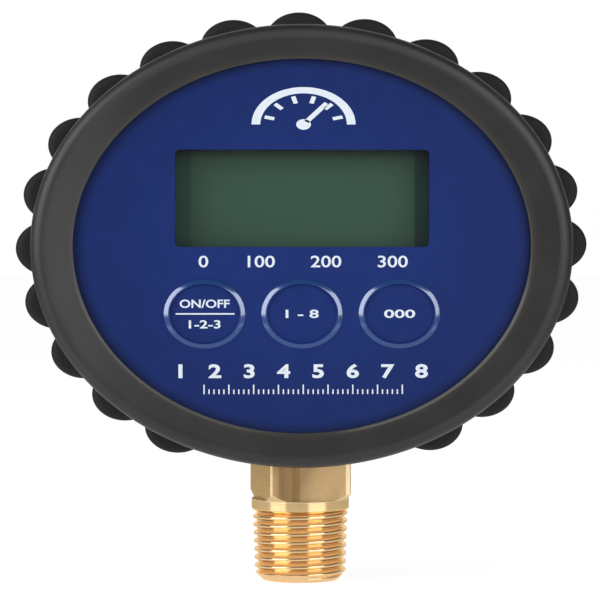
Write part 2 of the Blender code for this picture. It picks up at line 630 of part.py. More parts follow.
def make_key(name, x, finish, body):
    """One key: a dished cap with a raised rim, a flange behind the shell and a post."""
    rim_middle = KEY_RADIUS - KEY_RIM_WIDTH / 2
    steps = [math.pi * step / RIM_STEPS for step in range(RIM_STEPS + 1)]
    rim = [(rim_middle - KEY_RIM_WIDTH / 2 * math.cos(angle), FACE_FRONT - KEY_RIM_HEIGHT * math.sin(angle))
           for angle in steps]
    flange = KEY_RADIUS + KEY_FLANGE
    flange_back = FLANGE_FRONT + KEY_FLANGE_THICKNESS
    profile = [(0, FACE_FRONT)] + rim
    profile += [(KEY_RADIUS, FLANGE_FRONT), (flange, FLANGE_FRONT), (flange, flange_back),
                (KEY_POST_RADIUS, flange_back), (KEY_POST_RADIUS, KEY_BACK), (0, KEY_BACK)]
    key = solid(name + "_key", shift(widen(turned(profile, KEY_SEGMENTS)), x=x, z=-KEY_DOWN), finish)
    return place(key, body, (x, FACE_FRONT, -KEY_DOWN))


def make_switch(name, x, black, white, body):
    """The switch under a key: its body on the board, and its plunger."""
    half = SWITCH_WIDTH / 2
    base = block((x - half, SWITCH_FRONT, -KEY_DOWN - half), (x + half, SWITCH_BACK, -KEY_DOWN + half))
    hole_end = SWITCH_FRONT + PLUNGER_SUNK + KEY_TRAVEL + KEY_CLEARANCE
    hole = rod(PLUNGER_RADIUS + KEY_CLEARANCE, SWITCH_FRONT - OVERCUT, hole_end, x, -KEY_DOWN)
    switch = carve(solid(name + "_switch", base, black), cuts=[solid("plunger_hole", hole)])
    pin = rod(PLUNGER_RADIUS, PLUNGER_TOP, SWITCH_FRONT + PLUNGER_SUNK, x, -KEY_DOWN)
    plunger = solid(name + "_plunger", pin, white)
    place(switch, body)
    place(plunger, body, (x, PLUNGER_TOP, -KEY_DOWN))


def screw_mesh(name, head_radius, head_height, shank, length, finish):
    """A pan-head screw along Y with its head's underside at the origin."""
    edge = head_height / 3
    profile = [(0, head_height), (head_radius - edge, head_height), (head_radius, head_height - edge),
               (head_radius, 0), (shank, 0), (shank, shank - length), (0, -length)]
    screw = solid(name, turned(profile, SMALL_SEGMENTS), finish)
    reach = head_radius * SCREW_SLOT_REACH
    half = SCREW_SLOT_WIDTH / 2
    floor = head_height - SCREW_SLOT_DEPTH
    top = head_height + OVERCUT
    slots = [solid("slot", block((-reach, floor, -half), (reach, top, half))),
             solid("slot", block((-half, floor, -reach), (half, top, reach)))]
    return carve(screw, cuts=slots)


def make_screws(name, pattern, places, depth, body):
    """Copies of one screw at its places; the pattern itself becomes the first."""
    for number, (x, z) in enumerate(places, start=1):
        copy = pattern if number == 1 else pattern.copy()
        if number > 1:
            bpy.context.scene.collection.objects.link(copy)
        copy.name = f"{name}_{number}"
        copy.location = (x, depth, z)
        copy.parent = body


def make_cells(jacket, metal, body):
    """Two cells side by side, head to tail, with their springs and contacts."""
    left = -BAY_HALF_WIDTH + GAP
    right = BAY_HALF_WIDTH - GAP
    for name, side in (("upper", 1), ("lower", -1)):
        z = BAY_UP + side * CELL_PITCH / 2
        tail = -BAY_HALF_WIDTH + 3 * GAP + CONTACT_THICKNESS + SPRING_LENGTH
        head = tail + CELL_LENGTH
        nub = head + CELL_NUB_LENGTH
        profile = [(0, tail), (CELL_RADIUS - CELL_BEVEL, tail), (CELL_RADIUS, tail + CELL_BEVEL),
                   (CELL_RADIUS, head - CELL_BEVEL), (CELL_RADIUS - CELL_BEVEL, head),
                   (CELL_NUB_RADIUS, head), (CELL_NUB_RADIUS, nub), (0, nub)]
        cell = turned(profile, 2 * SMALL_SEGMENTS)
        lie_along_x(cell, side, z)
        place(solid("cell_" + name, cell, jacket), body)
        coil = spring(tail - GAP - SPRING_LENGTH)
        lie_along_x(coil, side, z)
        place(solid("cell_spring_" + name, coil, metal), body)
    reach = CONTACT_WIDTH / 2
    pair = CELL_PITCH / 2
    plates = {"bridge_contact": (left, left + CONTACT_THICKNESS, BAY_UP - pair, BAY_UP + pair),
              "positive_contact": (right - CONTACT_THICKNESS, right, BAY_UP + pair, BAY_UP + pair),
              "negative_contact": (right - CONTACT_THICKNESS, right, BAY_UP - pair, BAY_UP - pair)}
    for name, (start, end, low, high) in plates.items():
        plate = block((start, CELL_DEPTH - reach, low - reach), (end, CELL_DEPTH + reach, high + reach))
        place(solid(name, plate, metal), body)


def lie_along_x(bm, side, z):
    """Lay something made along Y in the bay, its head to the right or the left."""
    bmesh.ops.rotate(bm, matrix=Matrix.Rotation(-side * math.pi / 2, 3, "Z"), verts=bm.verts)
    shift(bm, y=CELL_DEPTH, z=z)


def spring(start):
    """A coil of round wire along Y."""
    bm = bmesh.new()
    steps = int(SPRING_TURNS * COIL_STEPS)
    travel = SPRING_LENGTH - 2 * SPRING_WIRE
    ring = [bm.verts.new((SPRING_RADIUS - SPRING_WIRE + x, start + SPRING_WIRE + y, 0))
            for x, y in circle(SPRING_WIRE, WIRE_SIDES)]
    loop = [bm.edges.new((ring[i], ring[i - 1])) for i in range(len(ring))]
    bmesh.ops.spin(bm, geom=ring + loop, cent=(0, 0, 0), axis=(0, 1, 0), dvec=(0, travel / steps, 0),
                   angle=SPRING_TURNS * math.tau, steps=steps)
    open_edges = [edge for edge in bm.edges if edge.is_boundary]
    bmesh.ops.holes_fill(bm, edges=open_edges)
    return bm


def make_door(finish, body):
    """Door over the cells: a plate with a thumb pad, and a rib that parts the cells."""
    outline = rounded_rectangle(DOOR_HALF_WIDTH, DOOR_HALF_HEIGHT, DOOR_CORNER, BAY_UP)
    door = solid("battery_door", prism(outline, DOOR_FRONT, CASE_BACK_DEPTH), finish)
    rib = block((-DOOR_RIB_LENGTH / 2, DOOR_FRONT - DOOR_RIB_HEIGHT, BAY_UP - DOOR_RIB_WIDTH / 2),
                (DOOR_RIB_LENGTH / 2, DOOR_FRONT + JOIN_BITE, BAY_UP + DOOR_RIB_WIDTH / 2))
    pad_up = BAY_UP + THUMB_UP
    floor = CASE_BACK_DEPTH - THUMB_DEPTH
    pad = prism(rounded_rectangle(THUMB_WIDTH / 2, THUMB_HEIGHT / 2, WINDOW_CORNER, pad_up),
                floor, CASE_BACK_DEPTH + OVERCUT)
    carve(door, joins=[solid("rib", rib)], cuts=[solid("thumb_pad", pad)])
    ridges = []
    for number in range(RIDGE_COUNT):
        z = pad_up + (number - (RIDGE_COUNT - 1) / 2) * RIDGE_PITCH
        ridge = block((-THUMB_WIDTH / 2 + RIDGE_PITCH, floor - JOIN_BITE, z - RIDGE_WIDTH / 2),
                      (THUMB_WIDTH / 2 - RIDGE_PITCH, floor + RIDGE_HEIGHT, z + RIDGE_WIDTH / 2))
        ridges.append(solid("ridge", ridge))
    carve(door, joins=ridges)
    return place(door, body, (0, DOOR_FRONT, BAY_UP))


def cut_flats(piece, across_flats, bottom, top, sides=6, first=math.pi / 6):
    """Mill flats on a turned piece, the first one turned so far from the front."""
    cutters = []
    for side in range(sides):
        cutter = block((across_flats / 2, -across_flats, bottom), (2 * across_flats, across_flats, top))
        angle = -math.pi / 2 + first + side * math.tau / sides
        bmesh.ops.rotate(cutter, matrix=Matrix.Rotation(angle, 3, "Z"), verts=cutter.verts)
        cutters.append(solid("flat", cutter))
    return carve(piece, cuts=cutters)


def make_stem(finish):
    """Brass stem: pipe thread core, collar, wrench square, neck, flange and sensor seat."""
    corner = corner_of(SQUARE_ACROSS_FLATS, 4)
    flange_corner = corner_of(FLANGE_ACROSS_FLATS, 6)
    seat_radius = SENSOR_RADIUS + GAP
    profile = [(PORT_RADIUS + PORT_BEVEL, 0), (THREAD_RADIUS_END - THREAD_CHAMFER, 0),
               (THREAD_RADIUS_END, THREAD_CHAMFER), (THREAD_RADIUS_TOP, THREAD_LENGTH - COLLAR_BEVEL),
               (COLLAR_RADIUS, THREAD_LENGTH), (COLLAR_RADIUS, COLLAR_TOP),
               (corner, COLLAR_TOP + SQUARE_SHOULDER), (corner, SQUARE_TOP), (NECK_RADIUS, SQUARE_TOP),
               (NECK_RADIUS, FLANGE_BOTTOM), (flange_corner, FLANGE_BOTTOM),
               (flange_corner, FLANGE_TOP), (BOSS_RADIUS, FLANGE_TOP),
               (BOSS_RADIUS, BOSS_TOP), (seat_radius, BOSS_TOP), (seat_radius, SEAT_HEIGHT),
               (PORT_RADIUS, SEAT_HEIGHT), (PORT_RADIUS, PORT_BEVEL)]
    stem = solid("stem", turned(profile, STEM_SEGMENTS, axis="Z", closed=True), finish)
    cut_flats(stem, SQUARE_ACROSS_FLATS, COLLAR_TOP, SQUARE_TOP + OVERCUT, sides=4, first=SQUARE_TURN)
    return cut_flats(stem, FLANGE_ACROSS_FLATS, FLANGE_BOTTOM - OVERCUT, FLANGE_TOP + OVERCUT)


def make_sensor(steel, brass, rubber, amber):
    """Pressure sensor, its seal, the nut that holds it and its ribbon."""
    can = solid("pressure_sensor", pillar(SENSOR_RADIUS, SENSOR_BOTTOM, SENSOR_TOP), steel)
    pins = []
    for number in range(SENSOR_PINS):
        angle = math.tau * (number + 0.5) / SENSOR_PINS
        pin = pillar(SENSOR_PIN_RADIUS, SENSOR_TOP - JOIN_BITE, NUT_TOP, segments=PIN_SIDES)
        shift(pin, x=SENSOR_PIN_RING * math.cos(angle), y=SENSOR_PIN_RING * math.sin(angle))
        pins.append(solid("pin", pin))
    carve(can, joins=pins)
    section = [(SEAL_RADIUS + r, SEAL_HEIGHT + z) for r, z in circle(SEAL_SECTION, SEAL_SIDES)]
    solid("sensor_seal", turned(section, 2 * SMALL_SEGMENTS, axis="Z", closed=True), rubber)
    corner = corner_of(NUT_ACROSS_FLATS, 6)
    bottom = BOSS_TOP - NUT_GRIP
    lip = SENSOR_TOP + GAP
    profile = [(BOSS_RADIUS + GAP, bottom), (corner - NUT_CHAMFER, bottom), (corner, bottom + NUT_CHAMFER),
               (corner, NUT_TOP - NUT_CHAMFER), (corner - NUT_CHAMFER, NUT_TOP),
               (SENSOR_RADIUS - NUT_LIP, NUT_TOP), (SENSOR_RADIUS - NUT_LIP, lip),
               (SENSOR_RADIUS + GAP, lip), (SENSOR_RADIUS + GAP, BOSS_TOP + GAP),
               (BOSS_RADIUS + GAP, BOSS_TOP + GAP)]
    nut = solid("sensor_nut", turned(profile, STEM_SEGMENTS, axis="Z", closed=True), brass)
    cut_flats(nut, NUT_ACROSS_FLATS, bottom - OVERCUT, NUT_TOP + OVERCUT)
    bend = BOARD_BACK + GAP
    under = NUT_TOP + GAP
    tail = under + RIBBON_TAIL
    step = RIBBON_THICKNESS
    route = [(bend, under), (SENSOR_RADIUS / 2, under), (SENSOR_RADIUS / 2, under + step),
             (bend + step, under + step), (bend + step, tail), (bend, tail)]
    ribbon = prism(route, -RIBBON_WIDTH / 2, RIBBON_WIDTH / 2)
    bmesh.ops.rotate(ribbon, matrix=Matrix.Rotation(math.pi / 2, 3, "Z"), verts=ribbon.verts)
    solid("sensor_ribbon", ribbon, amber)


def build():
    """Make every piece and hang the body's pieces on one empty at its centre."""
    clear_scene()
    rubber = material("black_rubber", (0.045, 0.045, 0.043), 0.6)
    blue = material("blue_print", (0.018, 0.032, 0.145), 0.35)
    clear = material("clear_plastic", (0.85, 0.9, 0.88), 0.05, alpha=0.3)
    black = material("black_plastic", (0.03, 0.03, 0.032), 0.5)
    white = material("white_plastic", (0.8, 0.8, 0.78), 0.5)
    display = material("display_green", (0.045, 0.09, 0.065), 0.15)
    green = material("board_green", (0.02, 0.16, 0.06), 0.4)
    brass = material("brass", (0.62, 0.41, 0.17), 0.25, metallic=1.0)
    steel = material("plated_steel", (0.6, 0.6, 0.6), 0.3, metallic=1.0)
    jacket = material("cell_jacket", (0.07, 0.07, 0.08), 0.35)
    amber = material("ribbon_amber", (0.5, 0.22, 0.03), 0.3)

    body = bpy.data.objects.new("body_centre", None)
    bpy.context.scene.collection.objects.link(body)
    body.location = (0, 0, BODY_HEIGHT)

    shells = [make_boot(rubber), make_case_front(black), make_case_back(black), make_face(blue),
              make_lens(clear)]
    for piece in shells + make_display(display, black, rubber) + make_board(green, black):
        place(piece, body)
    for name, x in KEYS.items():
        make_key(name, x, blue, body)
        make_switch(name, x, black, white, body)
    make_door(black, body)
    make_cells(jacket, steel, body)
    case_screw = screw_mesh("case_screw", CASE_SCREW_HEAD_RADIUS, CASE_SCREW_HEAD_HEIGHT,
                            CASE_SCREW_SHANK, CASE_SCREW_LENGTH, steel)
    make_screws("case_screw", case_screw, CASE_SCREWS, CASE_SCREW_HEAD, body)
    board_screw = screw_mesh("board_screw", BOARD_SCREW_HEAD_RADIUS, BOARD_SCREW_HEAD_HEIGHT,
                             BOARD_SCREW_SHANK, BOARD_SCREW_LENGTH, steel)
    make_screws("board_screw", board_screw, BOARD_SCREWS, BOARD_SCREW_HEAD, body)
    make_stem(brass)
    make_sensor(steel, brass, rubber, amber)


build()
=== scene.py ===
# %% [markdown]
# A hand-held compression gauge: an oval body in a ribbed rubber boot, a blue printed face
# with a read-out window and three keys, and a brass stem with a pipe thread.
# The solids come packed, in metres, with the stem's lower end at the origin and the face
# towards -Y. This lesson dresses them: it puts finer pieces over the plain ones where the
# photo shows more than they have, and gives every surface a finish made of nodes.

# %% Load the packed solids
import math

import bmesh
import bpy
from mathutils import Matrix, Vector


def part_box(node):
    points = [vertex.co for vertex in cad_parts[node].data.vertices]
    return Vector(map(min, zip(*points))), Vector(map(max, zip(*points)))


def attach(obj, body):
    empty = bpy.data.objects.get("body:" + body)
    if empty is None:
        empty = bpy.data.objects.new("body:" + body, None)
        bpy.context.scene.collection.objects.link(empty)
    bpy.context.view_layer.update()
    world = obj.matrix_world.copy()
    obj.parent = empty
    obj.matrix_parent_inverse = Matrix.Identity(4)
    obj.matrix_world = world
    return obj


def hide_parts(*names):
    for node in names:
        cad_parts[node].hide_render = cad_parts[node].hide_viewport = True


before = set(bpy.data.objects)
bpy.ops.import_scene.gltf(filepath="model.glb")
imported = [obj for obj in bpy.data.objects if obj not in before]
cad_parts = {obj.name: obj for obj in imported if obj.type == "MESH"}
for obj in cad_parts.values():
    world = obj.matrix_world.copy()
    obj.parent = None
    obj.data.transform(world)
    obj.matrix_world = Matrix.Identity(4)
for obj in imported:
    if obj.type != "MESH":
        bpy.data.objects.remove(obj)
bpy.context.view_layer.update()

MM = 0.001

# %% [markdown]
# The body is an oval, drawn as a circle by its height and then widened. Everything on it is
# placed from the middle of the case, which is read from the solids, and so is the factor by
# which the oval is wider than it is high.

# %% The body's middle and its oval
low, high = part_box("face_plate")
MIDDLE = (low.z + high.z) / 2
OVAL = (high.x - low.x) / (high.z - low.z)
FACE_FRONT = low.y
FACE_RADIUS = (high.z - low.z) / 2
print(f"middle at {MIDDLE / MM:.2f} mm, oval {OVAL:.4f}, face front at {FACE_FRONT / MM:.2f} mm")

# %% [markdown]
# The photo looks straight at the face from a little to its left, and the stem's rings sag, as
# rings below the eye do from about 40 cm away. The whole gauge fills the frame. The camera
# aims at one point and backs off from it by an angle to the side and an angle up, so that the
# view can be tuned with four plain numbers.

# %% Camera
CAMERA_SIDE = math.radians(-1.1)
CAMERA_UP = math.radians(1.4)
CAMERA_DISTANCE = 0.40
CAMERA_AIM = Vector((-0.00033, -0.0154, 0.0433))
FRAME_WIDTH = 0.0889


def added(name, data):
    """A new object in the scene."""
    made = bpy.data.objects.new(name, data)
    bpy.context.scene.collection.objects.link(made)
    return made


camera_data = bpy.data.cameras.new("camera")
camera = added("camera", camera_data)
back = Vector((math.sin(CAMERA_SIDE) * math.cos(CAMERA_UP),
               -math.cos(CAMERA_SIDE) * math.cos(CAMERA_UP), math.sin(CAMERA_UP)))
camera.location = CAMERA_AIM + back * CAMERA_DISTANCE
camera.rotation_euler = (-back).to_track_quat("-Z", "Y").to_euler()
camera_data.lens = camera_data.sensor_width * CAMERA_DISTANCE / FRAME_WIDTH
camera_data.clip_start = 0.01
bpy.context.scene.camera = camera
print(f"camera {CAMERA_DISTANCE} m away, lens {camera_data.lens:.0f} mm")

# %% [markdown]
# Shader maths reads best as arithmetic. A Wire wraps one output socket, and its operators add
# the Math node that does the sum, also with the plain number first, so 1 - mask works.

# %% Arithmetic on sockets
class Wire:
    """One output socket of a finish, which adds Math nodes when it is used in a sum."""

    def __init__(self, finish, output):
        self.finish = finish
        self.output = output

    def sum_of(self, operation, *values):
        return self.finish.node("ShaderNodeMath", {"operation": operation}, dict(enumerate(values)))

    def __add__(self, other):
        return self.sum_of("ADD", self, other)

    def __sub__(self, other):
        return self.sum_of("SUBTRACT", self, other)

    def __rsub__(self, other):
        return self.sum_of("SUBTRACT", other, self)

    def __mul__(self, other):
        return self.sum_of("MULTIPLY", self, other)

    def __abs__(self):
        return self.sum_of("ABSOLUTE", self)

    __radd__ = __add__
    __rmul__ = __mul__

    def root(self):
        return self.sum_of("SQRT", self)

    def sine(self):
        return self.sum_of("SINE", self)

    def larger(self, other):
        return self.sum_of("MAXIMUM", self, other)

    def bearing(self, other):
        return self.sum_of("ARCTAN2", self, other)

    def ramp(self, start, end):
        """0 before start, 1 after end and smooth between them; start may be the larger."""
        settings = {"interpolation_type": "SMOOTHSTEP"}
        values = {"Value": self, "From Min": start, "From Max": end}
        return self.finish.node("ShaderNodeMapRange", settings, values)


print("a Wire knows:", ", ".join(name for name in vars(Wire) if not name.startswith("_")))

# %% [markdown]
# A Finish is one material under construction. Its node() method makes any node: the settings
# go in first, then each socket gets a value or a Wire. The rest are short names for the few
# nodes that every finish here uses: places on the piece, noise, mixed colours and the shader.

# %% A finish made of nodes
class Finish:
    """A material, or the world, that is built by asking for nodes."""

    def __init__(self, name, world=None):
        self.material = world or bpy.data.materials.new(name)
        self.material.use_nodes = True
        self.tree = self.material.node_tree
        self.tree.nodes.clear()

    def node(self, kind, settings=None, values=None, out=0):
        made = self.tree.nodes.new(kind)
        for key, value in (settings or {}).items():
            setattr(made, key, value)
        for key, value in (values or {}).items():
            socket = made.inputs[key]
            if isinstance(value, Wire):
                self.tree.links.new(value.output, socket)
            elif socket.type == "RGBA":
                socket.default_value = (*value, 1.0)
            else:
                socket.default_value = value
        return Wire(self, made.outputs[out]) if len(made.outputs) else made

    def place(self):
        return self.node("ShaderNodeTexCoord", out="Object")

    def moved(self, offset=(0, 0, 0), scale=(1, 1, 1)):
        """Object coordinates, shifted and then stretched."""
        shifted = self.node("ShaderNodeVectorMath", {"operation": "SUBTRACT"},
                            {0: self.place(), 1: offset})
        return self.node("ShaderNodeVectorMath", {"operation": "MULTIPLY"}, {0: shifted, 1: scale})

    def axes(self, vector):
        """The three parts of a vector, as three Wires."""
        split = self.node("ShaderNodeSeparateXYZ", values={0: vector})
        return [Wire(self, output) for output in split.output.node.outputs]

    def noise(self, scale, detail=2.0, roughness=0.5, where=None):
        """Fine noise; scale is in grains per metre."""
        values = {"Vector": where or self.place(), "Scale": scale, "Detail": detail,
                  "Roughness": roughness}
        return self.node("ShaderNodeTexNoise", values=values, out="Fac")

    def blend(self, mask, first, second):
        """The first colour where the mask is 0 and the second where it is 1."""
        values = {0: mask, 6: first, 7: second}
        return self.node("ShaderNodeMix", {"data_type": "RGBA"}, values, out=2)

    def bump(self, height, depth, strength=1.0):
        values = {"Height": height, "Distance": depth, "Strength": strength}
        return self.node("ShaderNodeBump", values=values)

    def principled(self, **sockets):
        """The Principled shader; a socket's name has _ for a space."""
        values = {name.replace("_", " "): value for name, value in sockets.items()}
        return self.node("ShaderNodeBsdfPrincipled", values=values)

    def mixed(self, share, first, second):
        """The first shader where the share is 0 and the second where it is 1."""
        return self.node("ShaderNodeMixShader", values={0: share, 1: first, 2: second})

    def surface(self, shader):
        """End the finish with a shader and give back its material."""
        self.node("ShaderNodeOutputMaterial", values={"Surface": shader})
        print(f"finish {self.material.name}: {len(self.tree.nodes)} nodes")
        return self.material

    def shader(self, **sockets):
        return self.surface(self.principled(**sockets))


print("a Finish knows:", ", ".join(name for name in vars(Finish) if not name.startswith("_")))

# %% [markdown]
# Distances from the body's middle steer wear and painted light on the boot and painted shade
# on the face. On the oval, "how far out" means the height of the circle that was widened, so x
# is divided by the oval's factor before the two parts go through Pythagoras.

# %% How far out on the oval
def radius_out(finish):
    """Distance from the body's middle, by height, in millimetres."""
    x, _, z = finish.axes(finish.moved((0, 0, MIDDLE), (1 / OVAL / MM, 1 / MM, 1 / MM)))
    return (x * x + z * z).root()


print(f"the face ends {FACE_RADIUS / MM:.2f} mm out, by height")

# %% [markdown]
# The boot is moulded rubber, a warm near-black with a satin sheen. Under the lens it shows a
# fine leathery texture and faint cloudy patches. Its front lip is worn: brown and rubbed along
# the inner edge. Painted light is laid on it as well: a painted highlight line on the inner
# edge at the two lower corners, a painted sheen on the left of the lip, a lighter painted
# sheen band along the top of the shoulder, and the opening's wall painted lighter against
# its shade. The side, with the bumps, comes duller out of the mould than the polished front
# and back, so two shaders are mixed by depth.
# Every mark is a mask, and each pair below says where a mask is 0 and where it is 1, so that
# the first number may be the larger one. Sides, heights and depths are in millimetres.

# %% Finish: boot rubber
FRONT_LIP = (-8, -12)
INNER_EDGE = (27.4, 27.6)
RUBBED_EDGE = (28.9, 27.8)
HIGHLIGHT_LINE = (28.15, 28.0)
LOWER_CORNERS = (80, 300)
OPENING_WALL = (27.85, 27.75)
PAINTED_SHEEN_LEFT = (20, 37)
PAINTED_SHEEN_RING = (31.6, 31.0)
SHEEN_BAND_FROM = (30.5, 31.2)
SHEEN_BAND_TO = (32.3, 31.7)
SHEEN_BAND_UP = (10, 26)
BOOT_SIDE = (15.6, 14.6)
RUBBER_BLACK = (0.0125, 0.0125, 0.0122)
RUBBER_CLOUD = (0.0165, 0.0165, 0.0160)
RUBBER_BROWN = (0.036, 0.031, 0.023)
RUBBER_PAINTED_SHEEN = (0.034, 0.034, 0.035)
RUBBER_SHEEN_BAND = (0.036, 0.036, 0.036)
RUBBER_HIGHLIGHT = (0.085, 0.081, 0.074)
RUBBER_WALL_PAINTED_LIGHT = (0.105, 0.098, 0.082)


def boot_rubber():
    rubber = Finish("boot_rubber")
    out = radius_out(rubber)
    x, y, z = rubber.axes(rubber.moved((0, 0, MIDDLE), (1 / MM,) * 3))
    cloud = rubber.noise(120, detail=4, roughness=0.6)
    grain = rubber.noise(5200, detail=3, roughness=0.6)
    pores = rubber.noise(1500, detail=2)
    front = y.ramp(*FRONT_LIP)
    inner = front * out.ramp(*INNER_EDGE)
    painted_sheen = front * out.ramp(*PAINTED_SHEEN_RING) * (0 - x).ramp(*PAINTED_SHEEN_LEFT)
    band = front * out.ramp(*SHEEN_BAND_FROM) * out.ramp(*SHEEN_BAND_TO) * z.ramp(*SHEEN_BAND_UP)
    corners = (abs(x) * (0 - z)).ramp(*LOWER_CORNERS) * (0.5 + x.ramp(-5, 5) * 0.5)
    shade = rubber.blend(cloud.ramp(0.35, 0.7), RUBBER_BLACK, RUBBER_CLOUD)
    shade = rubber.blend(inner * out.ramp(*RUBBED_EDGE) * 0.6, shade, RUBBER_BROWN)
    # Painted sheen: the left of the lip is painted lighter.
    shade = rubber.blend(painted_sheen * (0.7 + cloud * 0.6), shade, RUBBER_PAINTED_SHEEN)
    # Painted sheen: a lighter band along the top of the shoulder.
    shade = rubber.blend(band * 0.8, shade, RUBBER_SHEEN_BAND)
    # Painted highlight: a light line on the inner edge at the two lower corners.
    shade = rubber.blend(inner * out.ramp(*HIGHLIGHT_LINE) * corners, shade, RUBBER_HIGHLIGHT)
    # Painted light: the opening's inner wall is painted lighter against its shade.
    shade = rubber.blend(inner * out.ramp(*OPENING_WALL) * 0.3, shade, RUBBER_WALL_PAINTED_LIGHT)
    relief = rubber.bump(grain * 0.7 + pores * 0.5, 0.012 * MM, 0.7)
    polished = rubber.principled(
        Base_Color=shade,
        Roughness=0.35 + cloud * 0.10 + grain * 0.06,
        Specular_IOR_Level=0.5,
        Normal=relief)
    dull = rubber.principled(
        Base_Color=rubber.blend(cloud, (0.0085, 0.0085, 0.0080), (0.0110, 0.0110, 0.0105)),
        Roughness=0.62 + grain * 0.1,
        Specular_IOR_Level=0.3,
        Normal=relief)
    return rubber.surface(rubber.mixed(abs(y).ramp(*BOOT_SIDE), polished, dull))


RUBBER = boot_rubber()

# %% [markdown]
# The two shells, the door and the inner frames are moulded of one black plastic, with the fine
# spark texture of its mould. Coarser noise adds the soft scuffs that such a case collects.

# %% Finish: black moulded plastic
def case_plastic():
    plastic = Finish("case_plastic")
    spark = plastic.noise(3800, detail=3, roughness=0.65)
    scuff = plastic.noise(260, detail=5, roughness=0.7)
    shade = plastic.blend(scuff.ramp(0.5, 0.75), (0.021, 0.021, 0.022), (0.031, 0.031, 0.032))
    return plastic.shader(
        Base_Color=shade,
        Roughness=0.42 + spark * 0.18,
        Normal=plastic.bump(spark, 0.03 * MM, 0.6))


PLASTIC = case_plastic()

# %% [markdown]
# The face and the keys are one printed film: deep blue ink under a clear satin layer. The
# colour is nearly even, with the faint mottling of the print and the orange-peel of the film.
# Painted shade darkens it a little away from the middle, and a painted shadow of the lip
# darkens it more along its border.

# %% Finish: blue print
INK_BLUE = (0.0094, 0.0262, 0.152)
INK_DARK = (0.0078, 0.0236, 0.140)
PAINTED_SHADE_BLUE = (0.0050, 0.0120, 0.055)
FACE_SHADE = (12, 24)
LIP_SHADOW_BORDER = (25.9, 27.9)


def face_print():
    film = Finish("face_print")
    mottle = film.noise(420, detail=3)
    peel = film.noise(900, detail=2)
    dust = film.noise(9000, detail=1)
    shade = film.blend(mottle.ramp(0.3, 0.7), INK_DARK, INK_BLUE)
    out = radius_out(film)
    # Painted shade: darker away from the middle.
    shade = film.blend(out.ramp(*FACE_SHADE) * 0.28, shade, PAINTED_SHADE_BLUE)
    # Painted shadow of the lip along the border.
    shade = film.blend(out.ramp(*LIP_SHADOW_BORDER) * 0.8, shade, PAINTED_SHADE_BLUE)
    return film.shader(
        Base_Color=shade,
        Roughness=0.30 + dust * 0.08,
        Specular_IOR_Level=0.18,
        Normal=film.bump(peel, 0.01 * MM, 0.5))


PRINT = face_print()

# %% [markdown]
# The raised rims of the keys are what catches the lamps, as thin pale arcs on the upper left
# and the right of each key. They get a finish of their own: a pearly, part metallic blue
# under a hard clear coat, which mirrors far more than the flat print does. The coat is thinner
# at the top and along the lower half of each rim, which stay dim in the photo.

# %% Finish: key rims
KEY_DOWN = -10.0
LOWER_HALF = (-0.2, -0.9)
UPPER_END = (3.6, 4.3)


def key_rim():
    pearl = Finish("key_rim")
    flake = pearl.noise(5000, detail=2)
    _, _, z = pearl.axes(pearl.moved((0, 0, MIDDLE + KEY_DOWN * MM), (1 / MM,) * 3))
    shade = pearl.blend(flake, (0.010, 0.050, 0.205), (0.014, 0.060, 0.230))
    return pearl.shader(
        Base_Color=shade,
        Metallic=0.35,
        Roughness=0.22 + flake * 0.06,
        Coat_Weight=1.0 - z.ramp(*LOWER_HALF) * 0.8 - z.ramp(*UPPER_END) * 0.9,
        Coat_Roughness=0.12,
        Coat_IOR=2.0)


RIM = key_rim()

# %% [markdown]
# The lettering is one white ink, slightly blue and speckled like a screen print. The window is
# a thin clear lens: a nearly transparent surface that keeps its gloss, with faint smears.

# %% Finish: white ink and clear window
def white_ink():
    ink = Finish("white_ink")
    speck = ink.noise(7000, detail=2)
    shade = ink.blend(speck.ramp(0.3, 0.8), (0.69, 0.755, 0.83), (0.63, 0.69, 0.765))
    return ink.shader(Base_Color=shade, Roughness=0.42 + speck * 0.1)


INK = white_ink()


def clear_window():
    pane = Finish("clear_window")
    smear = pane.noise(180, detail=3)
    return pane.shader(
        Base_Color=(0.05, 0.06, 0.055),
        Roughness=0.05 + smear * 0.06,
        Alpha=0.10)


WINDOW = clear_window()

# %% [markdown]
# An unlit liquid crystal panel is a grey-green mirror behind glass: nearly even, with painted
# light that makes it a little lighter upwards, a painted shadow along its top and a darker
# strip at each end. All of it follows from the place on the panel, in millimetres.

# %% Finish: display panel
WINDOW_UP = 7.1
LEFT_STRIP = (-16.25, -16.85)
RIGHT_STRIP = (16.8, 17.0)
TOP_SHADOW = (5.6, 7.0)


def display_panel():
    panel = Finish("display_panel")
    x, _, z = panel.axes(panel.moved((0, 0, MIDDLE + WINDOW_UP * MM), (1 / MM,) * 3))
    haze = panel.noise(300, detail=3)
    grain = panel.noise(6000, detail=2)
    # Painted light: a little lighter upwards.
    lit = (z * 0.05 + haze * 0.6).ramp(-0.3, 1.0)
    shade = panel.blend(lit, (0.0425, 0.107, 0.070), (0.044, 0.111, 0.072))
    shade = panel.blend(x.ramp(*LEFT_STRIP) * 0.8, shade, (0.018, 0.066, 0.050))
    shade = panel.blend(x.ramp(*RIGHT_STRIP), shade, (0.016, 0.052, 0.052))
    # Painted shadow along the top of the panel.
    shade = panel.blend(z.ramp(*TOP_SHADOW) * 0.6, shade, (0.014, 0.024, 0.018))
    return panel.shader(
        Base_Color=shade,
        Roughness=0.30 + grain * 0.1,
        Specular_IOR_Level=0.3,
        Normal=panel.bump(grain, 0.003 * MM, 0.3))


DISPLAY = display_panel()
